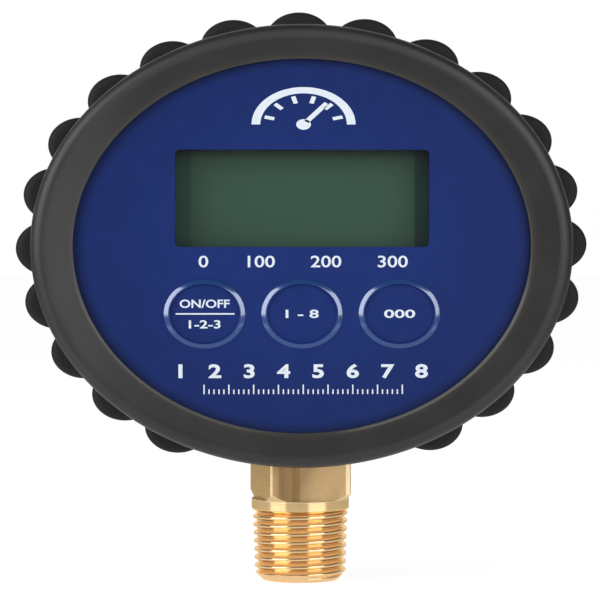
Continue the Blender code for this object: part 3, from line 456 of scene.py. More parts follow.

# %% [markdown]
# Brass shows how it was made. The thread, collar and chamfers are turned, so they carry fine
# rings and a bright polish. The square keeps the drawn bar's skin: matt, with faint lines
# along the bar and a speckle of oxide. On the square, painted shade darkens all that lies right
# of its front-left corner, a dark painted reflection runs up its front flat as a streak, and a
# painted highlight lies along its right edge. One finish switches between them by height. The
# flare from the collar to the square is a cone: what lies outside of it, with the collar's
# ledge, is a half matt brass painted paler, as painted light on faces that look down. The
# pairs are places in millimetres again, and each pair of colours goes from the clean metal to
# the oxide.

# %% Finish: brass
SQUARE_BOTTOM = 12.3
THREAD_END = 10.9
STREAK_FROM = (-3.7, -3.1)
STREAK_TO = (-0.12, -0.22)
FLAT_FROM = (-4.4, -4.2)
FLAT_TO = (6.75, 7.0)
COLLAR_RADIUS = 7.5
COLLAR_TOP = 12.45
LEDGE_FROM = (COLLAR_TOP - 0.02, COLLAR_TOP - 0.01)
LEDGE_TO = (COLLAR_TOP + 0.02, COLLAR_TOP + 0.01)
FLARE_SLOPE = 1.36
FLARE_OUT = (-0.14, -0.08)
FLARE_TO = (SQUARE_BOTTOM + 1.2, SQUARE_BOTTOM + 1.1)
BRASS_DRAWN = ((0.76, 0.53, 0.28), (0.66, 0.45, 0.225))
BRASS_TURNED = ((0.88, 0.63, 0.32), (0.83, 0.58, 0.28))
BRASS_THREAD = ((0.90, 0.61, 0.32), (0.84, 0.55, 0.28))
BRASS_FLAT_SHADE = (0.30, 0.20, 0.095)
BRASS_DARK_REFLECTION = (0.30, 0.165, 0.06)
BRASS_EDGE_HIGHLIGHT = (0.80, 0.64, 0.42)
BRASS_FLARE_PAINTED_LIGHT = (0.88, 0.70, 0.44)


def brass():
    metal = Finish("brass")
    x, y, z = metal.axes(metal.moved(scale=(1 / MM,) * 3))
    reflection_noise = metal.noise(620, detail=2, where=metal.moved(scale=(1, 1, 0.02)))
    lines = metal.noise(2600, detail=4, roughness=0.7, where=metal.moved(scale=(1, 1, 0.04)))
    oxide = metal.noise(900, detail=5, roughness=0.7)
    turned = metal.noise(9000, detail=2, where=metal.moved(scale=(0.02, 0.02, 1)))
    drawn = z.ramp(SQUARE_BOTTOM, SQUARE_BOTTOM + 0.06)
    threaded = z.ramp(THREAD_END, THREAD_END - 0.3)
    streak = x.ramp(*STREAK_FROM) * x.ramp(*STREAK_TO) * reflection_noise.ramp(0.2, 0.7)
    cone = COLLAR_RADIUS + (z - COLLAR_TOP) * FLARE_SLOPE
    flare = ((x * x + y * y).root() - cone).ramp(*FLARE_OUT) * drawn * z.ramp(*FLARE_TO)
    ledge = z.ramp(*LEDGE_FROM) * z.ramp(*LEDGE_TO) * z.ramp(THREAD_END, THREAD_END + 0.1)
    flare = flare.larger(ledge)
    skin = metal.blend(oxide.ramp(0.35, 0.75), *BRASS_DRAWN)
    # Painted shade: the square is darker right of its front-left corner.
    skin = metal.blend(x.ramp(*FLAT_FROM) * 0.7, skin, BRASS_FLAT_SHADE)
    # Painted reflection: a dark streak up the square's front flat.
    skin = metal.blend(streak * 0.9, skin, BRASS_DARK_REFLECTION)
    # Painted highlight along the square's right edge.
    skin = metal.blend(x.ramp(*FLAT_TO) * 0.9, skin, BRASS_EDGE_HIGHLIGHT)
    bright = metal.blend(oxide.ramp(0.4, 0.8), *BRASS_TURNED)
    orange = metal.blend(oxide.ramp(0.4, 0.8), *BRASS_THREAD)
    shade = metal.blend(drawn, metal.blend(threaded, bright, orange), skin)
    # Painted light: the flare and the collar's ledge, which face down, are painted paler.
    shade = metal.blend(flare, shade, BRASS_FLARE_PAINTED_LIGHT)
    height = drawn * lines * 0.8 + (1 - drawn) * turned * 0.4
    return metal.shader(
        Base_Color=shade,
        Metallic=1 - flare * 0.6 - threaded * 0.2,
        Roughness=0.12 + drawn * (0.20 + lines * 0.12) + oxide * 0.05,
        Specular_Tint=(1.0, 0.86, 0.62),
        Normal=metal.bump(height, 0.01 * MM, 0.5))


BRASS = brass()

# %% [markdown]
# Screws, springs and contacts are steel, zinc plated: bright, with a fine dull bloom.

# %% Finish: plated steel
def plated_steel():
    metal = Finish("plated_steel")
    bloom = metal.noise(1800, detail=4, roughness=0.7)
    shade = metal.blend(bloom.ramp(0.3, 0.8), (0.62, 0.62, 0.60), (0.45, 0.45, 0.44))
    return metal.shader(
        Base_Color=shade,
        Metallic=1.0,
        Roughness=0.22 + bloom * 0.2,
        Normal=metal.bump(bloom, 0.01 * MM, 0.4))


STEEL = plated_steel()

# %% [markdown]
# The inside is only seen with the door off, but it is finished too: the board's solder mask
# with faint tracks, seal rubber, white plungers and the amber ribbon with its conductors.

# %% Finishes: inside
def circuit_board():
    board = Finish("circuit_board")
    x, _, z = board.axes(board.moved(scale=(1 / MM,) * 3))
    tracks = ((x * 2.4).sine() * (z * 1.7).sine()).ramp(0.55, 0.62)
    weave = board.noise(2200, detail=2)
    shade = board.blend(tracks, (0.012, 0.120, 0.042), (0.022, 0.190, 0.070))
    return board.shader(
        Base_Color=shade,
        Roughness=0.32 + weave * 0.1,
        Normal=board.bump(tracks + weave * 0.2, 0.03 * MM, 0.5))


def plain(name, scale, first, second, roughness):
    """A moulded material in two close shades of one fine grain."""
    finish = Finish(name)
    grain = finish.noise(scale, detail=2)
    return finish.shader(
        Base_Color=finish.blend(grain, first, second),
        Roughness=roughness,
        Normal=finish.bump(grain, 0.01 * MM))


def ribbon_amber():
    film = Finish("ribbon_amber")
    x, _, _ = film.axes(film.moved(scale=(1 / MM,) * 3))
    tracks = (x * 6.28).sine().ramp(-0.2, 0.2)
    shade = film.blend(tracks, (0.42, 0.17, 0.020), (0.62, 0.30, 0.06))
    return film.shader(Base_Color=shade, Roughness=0.28, Normal=film.bump(tracks, 0.02 * MM))


BOARD = circuit_board()
RIBBON = ribbon_amber()
SEAL = plain("seal_rubber", 4000, (0.018, 0.018, 0.018), (0.028, 0.028, 0.028), 0.62)
WHITE = plain("plunger_white", 2500, (0.74, 0.73, 0.70), (0.80, 0.79, 0.76), 0.45)

# %% [markdown]
# A cell has a printed sleeve with a copper-coloured band at its positive end. The two cells
# lie head to tail, so the band sits at the right end of the upper cell and at the left end of
# the lower one. The finish is therefore a function of the side, and measures from the head.

# %% Finish: cell sleeve
CELL_BAND = (12.1, 12.0)
LINE_FROM = (13.0, 13.05)
LINE_TO = (13.55, 13.5)
CAP_RADIUS = (3.9, 3.8)
CAP_HEAD = (1.6, 1.5)
CAP_FOOT = (44.0, 44.2)


def cell_sleeve(name, node, side):
    """Black shrink sleeve with a copper band; side is 1 where the head points right."""
    sleeve = Finish(name)
    box_low, box_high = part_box(node)
    head = (box_high.x if side > 0 else box_low.x, (box_low.y + box_high.y) / 2,
            (box_low.z + box_high.z) / 2)
    x, y, z = sleeve.axes(sleeve.moved(head, (-side / MM, 1 / MM, 1 / MM)))
    cap = (y * y + z * z).root().ramp(*CAP_RADIUS) * (x.ramp(*CAP_HEAD) + x.ramp(*CAP_FOOT))
    wrap = sleeve.noise(700, detail=3)
    shade = sleeve.blend(wrap, (0.016, 0.017, 0.020), (0.022, 0.023, 0.027))
    shade = sleeve.blend(x.ramp(*CELL_BAND), shade, (0.45, 0.20, 0.075))
    shade = sleeve.blend(x.ramp(*LINE_FROM) * x.ramp(*LINE_TO), shade, (0.55, 0.55, 0.55))
    shade = sleeve.blend(cap, shade, (0.60, 0.60, 0.58))
    return sleeve.shader(
        Base_Color=shade,
        Metallic=cap,
        Roughness=0.24 + wrap * 0.12,
        Normal=sleeve.bump(wrap, 0.02 * MM, 0.5))


SLEEVE_UPPER = cell_sleeve("cell_sleeve_upper", "cell_upper", 1)
SLEEVE_LOWER = cell_sleeve("cell_sleeve_lower", "cell_lower", -1)

# %% [markdown]
# Every finish is made once and given to the solids that stay on show. A solid keeps its mesh:
# only its material changes.

# %% Give the solids their finishes
dressing = {
    "rubber_boot": RUBBER, "case_front": PLASTIC, "case_back": PLASTIC, "battery_door": PLASTIC,
    "display_frame": PLASTIC, "controller_chip": PLASTIC, "face_plate": PRINT,
    "window_lens": WINDOW, "display_glass": DISPLAY, "stem": BRASS, "sensor_nut": BRASS,
    "contact_strip_upper": SEAL, "contact_strip_lower": SEAL, "sensor_seal": SEAL,
    "circuit_board": BOARD, "sensor_ribbon": RIBBON, "pressure_sensor": STEEL,
    "cell_spring_upper": STEEL, "cell_spring_lower": STEEL, "bridge_contact": STEEL,
    "positive_contact": STEEL, "negative_contact": STEEL, "cell_upper": SLEEVE_UPPER,
    "cell_lower": SLEEVE_LOWER}
for key in ("power", "cylinder", "clear"):
    dressing[key + "_key"] = PRINT
    dressing[key + "_switch"] = PLASTIC
    dressing[key + "_plunger"] = WHITE
for number in (1, 2, 3, 4):
    dressing[f"case_screw_{number}"] = STEEL
    dressing[f"board_screw_{number}"] = STEEL
for node, finish in dressing.items():
    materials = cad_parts[node].data.materials
    materials.clear()
    materials.append(finish)
finishes = len(set(dressing.values()))
print(f"{finishes} finishes on {len(dressing)} of {len(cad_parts)} solids")

# %% [markdown]
# New pieces start as a bmesh. Three helpers carry them: spun() turns an outline round an axis
# into a closed solid, on_body() widens it to the oval and lifts it to the body, and piece()
# makes the bmesh an object with its normals outwards and soft shading up to its sharp edges,
# hangs it on a body of the frame and names its finish. The others are short names for what
# bmesh operators need or give back.

# %% Helpers
SHARP = math.radians(35)
WELD = 0.0005


def mesh_of(name, bm):
    """A mesh made from a bmesh, which is freed."""
    mesh = bpy.data.meshes.new(name)
    bm.to_mesh(mesh)
    bm.free()
    return mesh


def piece(name, bm, finish, body, stands_for=()):
    """Make a bmesh an object that rides on a body of the frame."""
    bmesh.ops.remove_doubles(bm, verts=bm.verts, dist=WELD * MM)
    bmesh.ops.recalc_face_normals(bm, faces=bm.faces)
    mesh = mesh_of(name, bm)
    mesh.materials.append(finish)
    mesh.shade_smooth()
    mesh.set_sharp_from_angle(angle=SHARP)
    made = added(name, mesh)
    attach(made, body)
    if stands_for:
        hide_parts(*stands_for)
    print(f"{name}: {len(mesh.polygons)} faces")
    return made


def spun(outline, steps, axis="Y", closed=True):
    """Spin (radius, along) points, in millimetres, once round an axis through the origin."""
    bm = bmesh.new()
    upright = axis == "Z"
    points = [(radius * MM, 0, along * MM) if upright else (radius * MM, along * MM, 0)
              for radius, along in outline]
    verts = [bm.verts.new(point) for point in points]
    edges = [bm.edges.new(pair) for pair in zip(verts, verts[1:])]
    if closed:
        edges.append(bm.edges.new((verts[-1], verts[0])))
    bmesh.ops.spin(bm, geom=verts + edges, cent=(0, 0, 0), angle=math.tau, steps=steps,
                   axis=(0, 0, 1) if upright else (0, 1, 0), use_merge=True)
    bmesh.ops.remove_doubles(bm, verts=bm.verts, dist=WELD * MM)
    return bm


def on_body(bm, x=0.0, z=0.0, oval=OVAL):
    """Widen a round piece to an oval and lift it to its place on the body."""
    bmesh.ops.scale(bm, vec=(oval, 1, 1), verts=bm.verts)
    bmesh.ops.translate(bm, vec=(x * MM, 0, MIDDLE + z * MM), verts=bm.verts)
    return bm


def ring(bm, radius, along):
    """The edges of one ring of a piece spun round Y, found by its radius and its depth."""
    def on_it(vert):
        off = math.hypot(vert.co.x, vert.co.z) / MM - radius
        return abs(off) < 0.02 and abs(vert.co.y / MM - along) < 0.01
    return [edge for edge in bm.edges if all(on_it(vert) for vert in edge.verts)]


def rounded(bm, edges, width, segments):
    """Bevel edges to a round of a width in millimetres."""
    bmesh.ops.bevel(bm, geom=edges, offset=width * MM, segments=segments, profile=0.5,
                    material=-1, affect="EDGES")


def sliced(bm, point, normal, **side):
    """Cut a bmesh by a plane, clear one side of it and give back the edges of the cut."""
    cut = bmesh.ops.bisect_plane(bm, geom=bm.verts[:] + bm.edges[:] + bm.faces[:],
                                 plane_co=point, plane_no=normal, **side)
    return edges_in(cut["geom_cut"])


def verts_in(items):
    return [item for item in items if isinstance(item, bmesh.types.BMVert)]


def edges_in(items):
    return [item for item in items if isinstance(item, bmesh.types.BMEdge)]


def worked_out(made):
    """The mesh that an object has once its modifiers or its curve are worked out."""
    bpy.context.view_layer.update()
    depsgraph = bpy.context.evaluated_depsgraph_get()
    return bpy.data.meshes.new_from_object(made.evaluated_get(depsgraph))


print(f"edges over {math.degrees(SHARP):.0f} degrees stay sharp")

# %% [markdown]
# The boot's section is a rounded C that grips the case: a front lip round the face, the side
# wall, and a back lip. Spinning a cornered section and then bevelling the rings at its
# corners gives true quarter rounds, and the shoulder keeps the one radius that catches the
# light all round. The lip falls a little towards the face, which is why its left side mirrors
# the right lamp; with the painted sheen added there, it is the brightest part of the ring.

# %% Boot: ring
BOOT_RADIUS = 32.88
LIP_FRONT = -17.0
LIP_BACK = 17.0
SHOULDER = 1.72
LIP_BEVEL = 0.16
LIP_OPENING = 27.7
BACK_OPENING = 26.5
CASE_ROOM = 30.9
FACE_SEAT = -14.6
BACK_SEAT = 15.0
LIP_FALL = 0.74
LIP_OUT = 31.1
BOOT_STEPS = 240

lip = [(LIP_OUT + (LIP_OPENING - LIP_OUT) * share, LIP_FRONT + LIP_FALL * share)
       for share in (1.0, 0.85, 0.5, 0.15, 0.0)]
section = lip + [(BOOT_RADIUS, LIP_FRONT), (BOOT_RADIUS, LIP_BACK), (BACK_OPENING, LIP_BACK),
                 (BACK_OPENING, BACK_SEAT), (CASE_ROOM, BACK_SEAT), (CASE_ROOM, FACE_SEAT),
                 (LIP_OPENING, FACE_SEAT)]
boot = spun(section, BOOT_STEPS)
shoulders = ring(boot, BOOT_RADIUS, LIP_FRONT) + ring(boot, BOOT_RADIUS, LIP_BACK)
rounded(boot, shoulders, SHOULDER, 8)
lips = ring(boot, LIP_OPENING, LIP_FRONT + LIP_FALL) + ring(boot, BACK_OPENING, LIP_BACK)
rounded(boot, lips, LIP_BEVEL, 4)
print("boot ring:", len(shoulders), "shoulder edges rounded,", len(boot.faces), "faces")

# %% [markdown]
# The stem leaves the boot through a round hole. Cutting one shape out of another is a job for
# a Boolean modifier: the ring and a plain pillar become objects for a moment, the modifier's
# result is read back into a bmesh, and both objects go away again. The hole is cut before the
# bumps are added, because the modifier wants a shape that doesn't cross itself.

# %% Boot: outlet for the stem
SQUARE_ACROSS_FLATS = 12.7
SQUARE_CORNER = SQUARE_ACROSS_FLATS / math.sqrt(2)
OUTLET_ROOM = 0.3
PILLAR_DEPTH = 8


def for_a_moment(bm):
    """A bmesh as an object that is used and removed."""
    return added("for_a_moment", mesh_of("for_a_moment", bm))


def cut_out(solid_bm, cutter_bm):
    """One bmesh with another cut out of it."""
    body, cutter = for_a_moment(solid_bm), for_a_moment(cutter_bm)
    modifier = body.modifiers.new("hole", "BOOLEAN")
    modifier.operation = "DIFFERENCE"
    modifier.solver = "EXACT"
    modifier.object = cutter
    cut_mesh = worked_out(body)
    result = bmesh.new()
    result.from_mesh(cut_mesh)
    for helper in (body, cutter):
        helper_mesh = helper.data
        bpy.data.objects.remove(helper, do_unlink=True)
        bpy.data.meshes.remove(helper_mesh)
    bpy.data.meshes.remove(cut_mesh)
    return result


outlet = (SQUARE_CORNER + OUTLET_ROOM) * MM
pillar = bmesh.new()
bmesh.ops.create_cone(pillar, cap_ends=True, segments=96, radius1=outlet, radius2=outlet,
                      depth=PILLAR_DEPTH * MM)
bmesh.ops.translate(pillar, vec=(0, 0, -BOOT_RADIUS * MM), verts=pillar.verts)
bmesh.ops.scale(pillar, vec=(1 / OVAL, 1, 1), verts=pillar.verts)
boot = cut_out(boot, pillar)
print("outlet cut:", len(boot.faces), "faces")

# %% [markdown]
# A grip bump is a round bar with softened ends, let into the wall. One bar is made at the
# right of the ring, its hidden inner part is cut away, and copies are turned to the other
# places. They are widened with the ring, so the bumps at the sides stand out more, as in the
# photo.

# %% Boot: grip bumps
BUMP_PLACES = 24
BUMPS_LEFT_OUT = 3
BUMP_RADIUS = 4.05
BUMP_PROUD = 2.01
BUMP_TURN = math.radians(0.6)
BUMP_HALF_LENGTH = 12.5
BUMP_END = 1.0
BUMP_ROOT = 0.85

bump = bmesh.new()
bmesh.ops.create_circle(bump, cap_ends=True, radius=BUMP_RADIUS * MM, segments=64)
turn = Matrix.Rotation(math.radians(90), 3, "X")
bmesh.ops.rotate(bump, matrix=turn, verts=bump.verts)
bump_out = BOOT_RADIUS + BUMP_PROUD - BUMP_RADIUS
bmesh.ops.translate(bump, vec=(bump_out * MM, -BUMP_HALF_LENGTH * MM, 0), verts=bump.verts)
grown = bmesh.ops.extrude_face_region(bump, geom=list(bump.faces))["geom"]
bmesh.ops.translate(bump, vec=(0, 2 * BUMP_HALF_LENGTH * MM, 0), verts=verts_in(grown))
ends = [edge for edge in bump.edges if abs(edge.verts[0].co.y - edge.verts[1].co.y) < 0.01 * MM]
rounded(bump, ends, BUMP_END, 5)
sliced(bump, ((BOOT_RADIUS - BUMP_ROOT) * MM, 0, 0), (1, 0, 0), clear_inner=True)
bmesh.ops.holes_fill(bump, edges=[edge for edge in bump.edges if edge.is_boundary])
bump_mesh = mesh_of("bump", bump)

first = BUMPS_LEFT_OUT // 2 + 1
for number in range(first, BUMP_PLACES - first + 1):
    angle = -math.pi / 2 + math.tau * number / BUMP_PLACES + BUMP_TURN
    before = len(boot.verts)
    boot.from_mesh(bump_mesh)
    boot.verts.ensure_lookup_table()
    bmesh.ops.rotate(boot, matrix=Matrix.Rotation(-angle, 3, "Y"), verts=boot.verts[before:])
bpy.data.meshes.remove(bump_mesh)
print("bumps:", BUMP_PLACES + 1 - 2 * first)

piece("boot", on_body(boot), RUBBER, "gauge", ["rubber_boot"])

# %% [markdown]
# In the photo the blue film reaches the boot's lip all round. The solid plate ends a little
# short of it, so a thin ring of the same film, just in front of the plate, closes the gap.

# %% The film's edge
FILM_OVERLAP = 0.1
FILM_UNDER_LIP = 0.04
FILM_PROUD = 0.01
FILM_OFF_SEAT = 0.02

film_in = FACE_RADIUS / MM - FILM_OVERLAP
film_out = LIP_OPENING + FILM_UNDER_LIP
film_front = FACE_FRONT / MM - FILM_PROUD
film_back = FACE_SEAT - FILM_OFF_SEAT
film_edge = spun([(film_in, film_front), (film_out, film_front), (film_out, film_back),
                  (film_in, film_back)], BOOT_STEPS)
print(f"film edge from {film_in:.2f} to {film_out:.2f} mm out, its front at {film_front:.3f} mm")
piece("film_edge", on_body(film_edge), PRINT, "gauge")

# %% [markdown]
# Each key is a shallow dish with a rounded rim that stands a little proud of the face. The
# rim is what the eye sees, because it mirrors the lamps as thin arcs, so it gets many steps.
# In the photo the keys are less oval than the body and no gap shows round them, so a flat seat
# of the same film closes the plate's hole up to each key.
# The outline runs from the middle of the dish over the rim and down the side to the flange
# that keeps the key in the case, then round the post that presses the switch.

# %% Keys
KEY_RADIUS = 5.15
KEY_OVAL = 1.177
KEY_RIM = 0.85
KEY_RIM_HEIGHT = 0.36
RIM_CREST = 0.8
RIM_PROUD = 0.01
SEAT_GAP = 0.03
SEAT_EDGE = 5.65
SEAT_PROUD = 0.015
SEAT_DEEP = 0.7
KEY_FLANGE = 0.65
KEY_FLANGE_FRONT = -12.0
KEY_FLANGE_BACK = -11.4
KEY_POST = 1.8
KEY_PITCH = 14.45
KEY_STEPS = 128
KEYS = {"power": -KEY_PITCH, "cylinder": 0.0, "clear": KEY_PITCH}

front = FACE_FRONT / MM
# The rim: (share of its width from the inside, share of its height)
RIM_FORM = [(0.0, 0.0), (0.04, 0.5), (0.10, 0.86), (0.16, 0.97), (0.23, 1.0), (0.30, 0.98),
            (0.38, 0.91), (0.50, 0.76), (0.65, 0.55), (0.80, 0.33), (0.92, 0.16), (1.0, 0.0)]
rim = [(KEY_RADIUS - KEY_RIM * (1 - width), front - KEY_RIM_HEIGHT * height)
       for width, height in RIM_FORM]
seat_in = KEY_RADIUS + SEAT_GAP
for name, across in KEYS.items():
    seat = spun([(seat_in, front - SEAT_PROUD), (SEAT_EDGE, front - SEAT_PROUD),
                 (SEAT_EDGE, front + SEAT_DEEP), (seat_in, front + SEAT_DEEP)], KEY_STEPS)
    piece(name + "_key_seat", on_body(seat, across, KEY_DOWN, KEY_OVAL), PRINT, "gauge")
    post_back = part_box(name + "_key")[1].y / MM
    outline = [(0, front)] + rim + [
        (KEY_RADIUS, KEY_FLANGE_FRONT), (KEY_RADIUS + KEY_FLANGE, KEY_FLANGE_FRONT),
        (KEY_RADIUS + KEY_FLANGE, KEY_FLANGE_BACK), (KEY_POST, KEY_FLANGE_BACK),
        (KEY_POST, post_back), (0, post_back)]
    key = spun(outline, KEY_STEPS, closed=False)
    for face in key.faces:
        centre = face.calc_center_median()
        outside = math.hypot(centre.x, centre.z) > (KEY_RADIUS - KEY_RIM * RIM_CREST) * MM
        face.material_index = 1 if outside and centre.y < FACE_FRONT - RIM_PROUD * MM else 0
    made = piece(name + "_cap", on_body(key, across, KEY_DOWN, KEY_OVAL), PRINT, name + "_button",
                 [name + "_key"])
    made.data.materials.append(RIM)

# %% [markdown]
# A pipe thread is one groove that climbs round the stem. Spinning an upright outline with a
# rise of one pitch in a turn makes the real screw surface, and because the outline repeats
# every pitch, the last column of points falls on the first and the seam closes. The skin is
# then tapered, cut level at both ends, chamfered at the lower one and closed round the port.

# %% Stem: thread
THREAD_PITCH = 1.255
THREAD_TOP = 10.8
THREAD_END_RADIUS = 6.95
THREAD_TOP_RADIUS = 7.3
THREAD_DEPTH = 0.62
CHAMFER_RADIUS = 5.85
CHAMFER_HEIGHT = 1.1
PORT_RADIUS = 2.25
PORT_DEPTH = 9.0
STEM_STEPS = 120
SPARE_TURNS = 2
INTO_COLLAR = 0.4
# One pitch of the outline: (share of the pitch, share of the depth cut away)
THREAD_FORM = [(0.00, 0.10), (0.05, 0.0), (0.15, 0.0), (0.27, 0.0), (0.34, 0.08), (0.45, 0.40),
               (0.56, 0.75), (0.64, 0.96), (0.69, 1.0), (0.74, 0.96), (0.82, 0.75), (0.91, 0.40)]

thread = bmesh.new()
turns_up = int(THREAD_TOP / THREAD_PITCH)
points = []
for pitch in range(-SPARE_TURNS, turns_up + SPARE_TURNS):
    for share, cut_share in THREAD_FORM:
        radius = THREAD_TOP_RADIUS - THREAD_DEPTH * cut_share
        height = (pitch + share) * THREAD_PITCH
        points.append(thread.verts.new((radius * MM, 0, height * MM)))
lines = [thread.edges.new(pair) for pair in zip(points, points[1:])]
bmesh.ops.spin(thread, geom=points + lines, cent=(0, 0, 0), axis=(0, 0, 1),
               dvec=(0, 0, THREAD_PITCH * MM / STEM_STEPS), angle=math.tau, steps=STEM_STEPS)
bmesh.ops.remove_doubles(thread, verts=thread.verts, dist=0.005 * MM)
for level, side in ((0.0, -1), (THREAD_TOP + INTO_COLLAR, 1)):
    sliced(thread, (0, 0, level * MM), (0, 0, side), clear_outer=True)
for vert in thread.verts:
    height = vert.co.z / MM
    reach = math.hypot(vert.co.x, vert.co.y)
    taper = (THREAD_TOP_RADIUS - THREAD_END_RADIUS) * (1 - height / THREAD_TOP)
    limit = CHAMFER_RADIUS + (THREAD_END_RADIUS - CHAMFER_RADIUS) * height / CHAMFER_HEIGHT
    wanted = min(reach / MM - taper, limit)
    vert.co.xy *= wanted * MM / reach
open_edges = [edge for edge in thread.edges if edge.is_boundary]
lower = [edge for edge in open_edges if edge.verts[0].co.z < THREAD_TOP * MM / 2]
upper = [edge for edge in open_edges if edge.verts[0].co.z >= THREAD_TOP * MM / 2]
bmesh.ops.holes_fill(thread, edges=upper)
print(f"thread: {turns_up} whole turns, {len(lower)} edges round its foot, {len(upper)} above")

# %% [markdown]
# The lower end is closed by a flat ring between the thread and the port. A circle is added at
# the port's mouth, the two loops are bridged, and the circle is then drawn up in steps to make
# the mouth's small chamfer, the bore and its drilled end.

# %% Stem: lower end and port
PORT_CHAMFER = 0.3
DRILL_TIP = (0.02, PORT_DEPTH + 0.9)
port_steps = [(PORT_RADIUS + PORT_CHAMFER, 0.0), (PORT_RADIUS, PORT_CHAMFER),
              (PORT_RADIUS, PORT_DEPTH), DRILL_TIP]
circle = bmesh.ops.create_circle(thread, cap_ends=False, radius=port_steps[0][0] * MM,
                                 segments=64)["verts"]
mouth = list({edge for vert in circle for edge in vert.link_edges})
bmesh.ops.bridge_loops(thread, edges=lower + mouth)
edges = mouth
for (before, _), (radius, height) in zip(port_steps, port_steps[1:]):
    grown = bmesh.ops.extrude_edge_only(thread, edges=edges)["geom"]
    edges = edges_in(grown)
    moved = verts_in(grown)
    bmesh.ops.scale(thread, vec=(radius / before, radius / before, 1), verts=moved)
    bmesh.ops.translate(thread, vec=(0, 0, height * MM - moved[0].co.z), verts=moved)
bmesh.ops.holes_fill(thread, edges=edges)
closed = all(edge.is_manifold for edge in thread.edges)
print(f"thread skin closed: {closed}, {len(thread.faces)} faces")

# %% [markdown]
# The collar, neck and boss are turned, so they are spun outlines. The wrench square is milled
# from a turned blank that flares from the collar: cutting the blank with four planes leaves
# flats whose lower edges curve up to the corners. The hexagonal flange inside the case is cut
# by the same helper with six planes.

# %% Stem: collar, square and the parts inside the case
COLLAR_BEVEL = 0.2
LEDGE_BEVEL = 0.03
SQUARE_SHOULDER = 1.0
SQUARE_TOP = 20.3
SQUARE_TURN = math.radians(14)
SQUARE_EDGE = 0.12
BLANK_RADIUS = SQUARE_CORNER - SQUARE_EDGE
OVERLAP = 0.1
COLLAR_ROOT = (THREAD_TOP_RADIUS - 0.35, THREAD_TOP - 0.25)
FLANGE_ACROSS_FLATS = 14.3
FLANGE_BOTTOM = 23.0
FLANGE_TOP = 25.9
NECK_RADIUS = 5.5
BOSS_RADIUS = 6.4
BOSS_TOP = 32.4
SEAT_RADIUS = 5.3
SEAT_FLOOR = 27.7


def milled(blank, sides, across_flats, first):
    """Cut flats on a turned blank, the first one turned so far from the front."""
    for side in range(sides):
        angle = -math.pi / 2 + first + side * math.tau / sides
        outwards = Vector((math.cos(angle), math.sin(angle), 0))
        cut = sliced(blank, outwards * across_flats / 2 * MM, outwards, clear_outer=True)
        bmesh.ops.holes_fill(blank, edges=cut)
    return blank


def joined(*parts):
    """Several closed shells in one bmesh."""
    whole = parts[0]
    for part in parts[1:]:
        carrier = mesh_of("carrier", part)
        whole.from_mesh(carrier)
        bpy.data.meshes.remove(carrier)
    return whole


def turned_piece(outline, steps=STEM_STEPS):
    return spun(outline, steps, axis="Z", closed=False)


collar = turned_piece([
    (0, COLLAR_ROOT[1]), COLLAR_ROOT, (COLLAR_RADIUS - COLLAR_BEVEL, THREAD_TOP),
    (COLLAR_RADIUS, THREAD_TOP + COLLAR_BEVEL), (COLLAR_RADIUS, COLLAR_TOP - LEDGE_BEVEL),
    (COLLAR_RADIUS - LEDGE_BEVEL, COLLAR_TOP), (0, COLLAR_TOP)])
bar = turned_piece([
    (0, COLLAR_TOP - OVERLAP), (COLLAR_RADIUS - LEDGE_BEVEL, COLLAR_TOP - OVERLAP),
    (COLLAR_RADIUS - LEDGE_BEVEL, COLLAR_TOP), (BLANK_RADIUS, COLLAR_TOP + SQUARE_SHOULDER),
    (BLANK_RADIUS, SQUARE_TOP), (0, SQUARE_TOP)])
bar = milled(bar, 4, SQUARE_ACROSS_FLATS, SQUARE_TURN)
flange_corner = FLANGE_ACROSS_FLATS / math.sqrt(3)
flange = turned_piece([
    (0, FLANGE_BOTTOM), (flange_corner, FLANGE_BOTTOM), (flange_corner, FLANGE_TOP),
    (0, FLANGE_TOP)])
flange = milled(flange, 6, FLANGE_ACROSS_FLATS, math.pi / 6)
neck = turned_piece([
    (0, SQUARE_TOP - OVERLAP), (NECK_RADIUS, SQUARE_TOP - OVERLAP),
    (NECK_RADIUS, FLANGE_TOP - OVERLAP), (BOSS_RADIUS, FLANGE_TOP - OVERLAP),
    (BOSS_RADIUS, BOSS_TOP), (SEAT_RADIUS, BOSS_TOP), (SEAT_RADIUS, SEAT_FLOOR),
    (0, SEAT_FLOOR)], 64)
stem = joined(thread, collar, bar, flange, neck)
piece("brass_stem", stem, BRASS, "gauge", ["stem"])

# %% [markdown]
# What the maker printed on the face is not copied. The same places carry plain signs: a dial
# sign at the top, a row of scale numbers under the window, a row of cylinder numbers and a
# ruler of ticks at the bottom. Text starts as a font curve with a little thickness, is made a
# mesh, and is only then turned and moved to the face, so its object stays at the origin.

# %% Print: words and numbers
INK_THICKNESS = 0.03
INK_SUNK = 0.005
INK_WELD = 0.002
FACE_TILT = Matrix.Rotation(math.radians(90), 4, "X")
# Each row: name, text, boldness, (x, z) from the body's middle, width, height, body
WORDS = [
    ("scale_numbers", "0      100      200      300", 0.012, (0.15, -2.25), 31.0, 1.75, "gauge"),
    ("cylinder_numbers", "1   2   3   4   5   6   7   8", 0.03, (0.15, -18.5), 37.0, 2.15, "gauge"),
    ("power_sign", "ON/OFF", 0.02, (-KEY_PITCH, KEY_DOWN + 1.5), 7.4, 1.25, "power_button"),
    ("unit_sign", "1-2-3", 0.02, (-KEY_PITCH, KEY_DOWN - 1.55), 4.7, 1.25, "power_button"),
    ("cylinder_sign", "1 - 8", 0.02, (0.0, KEY_DOWN), 4.9, 1.25, "cylinder_button"),
    ("clear_sign", "000", 0.02, (KEY_PITCH, KEY_DOWN), 4.6, 1.25, "clear_button")]


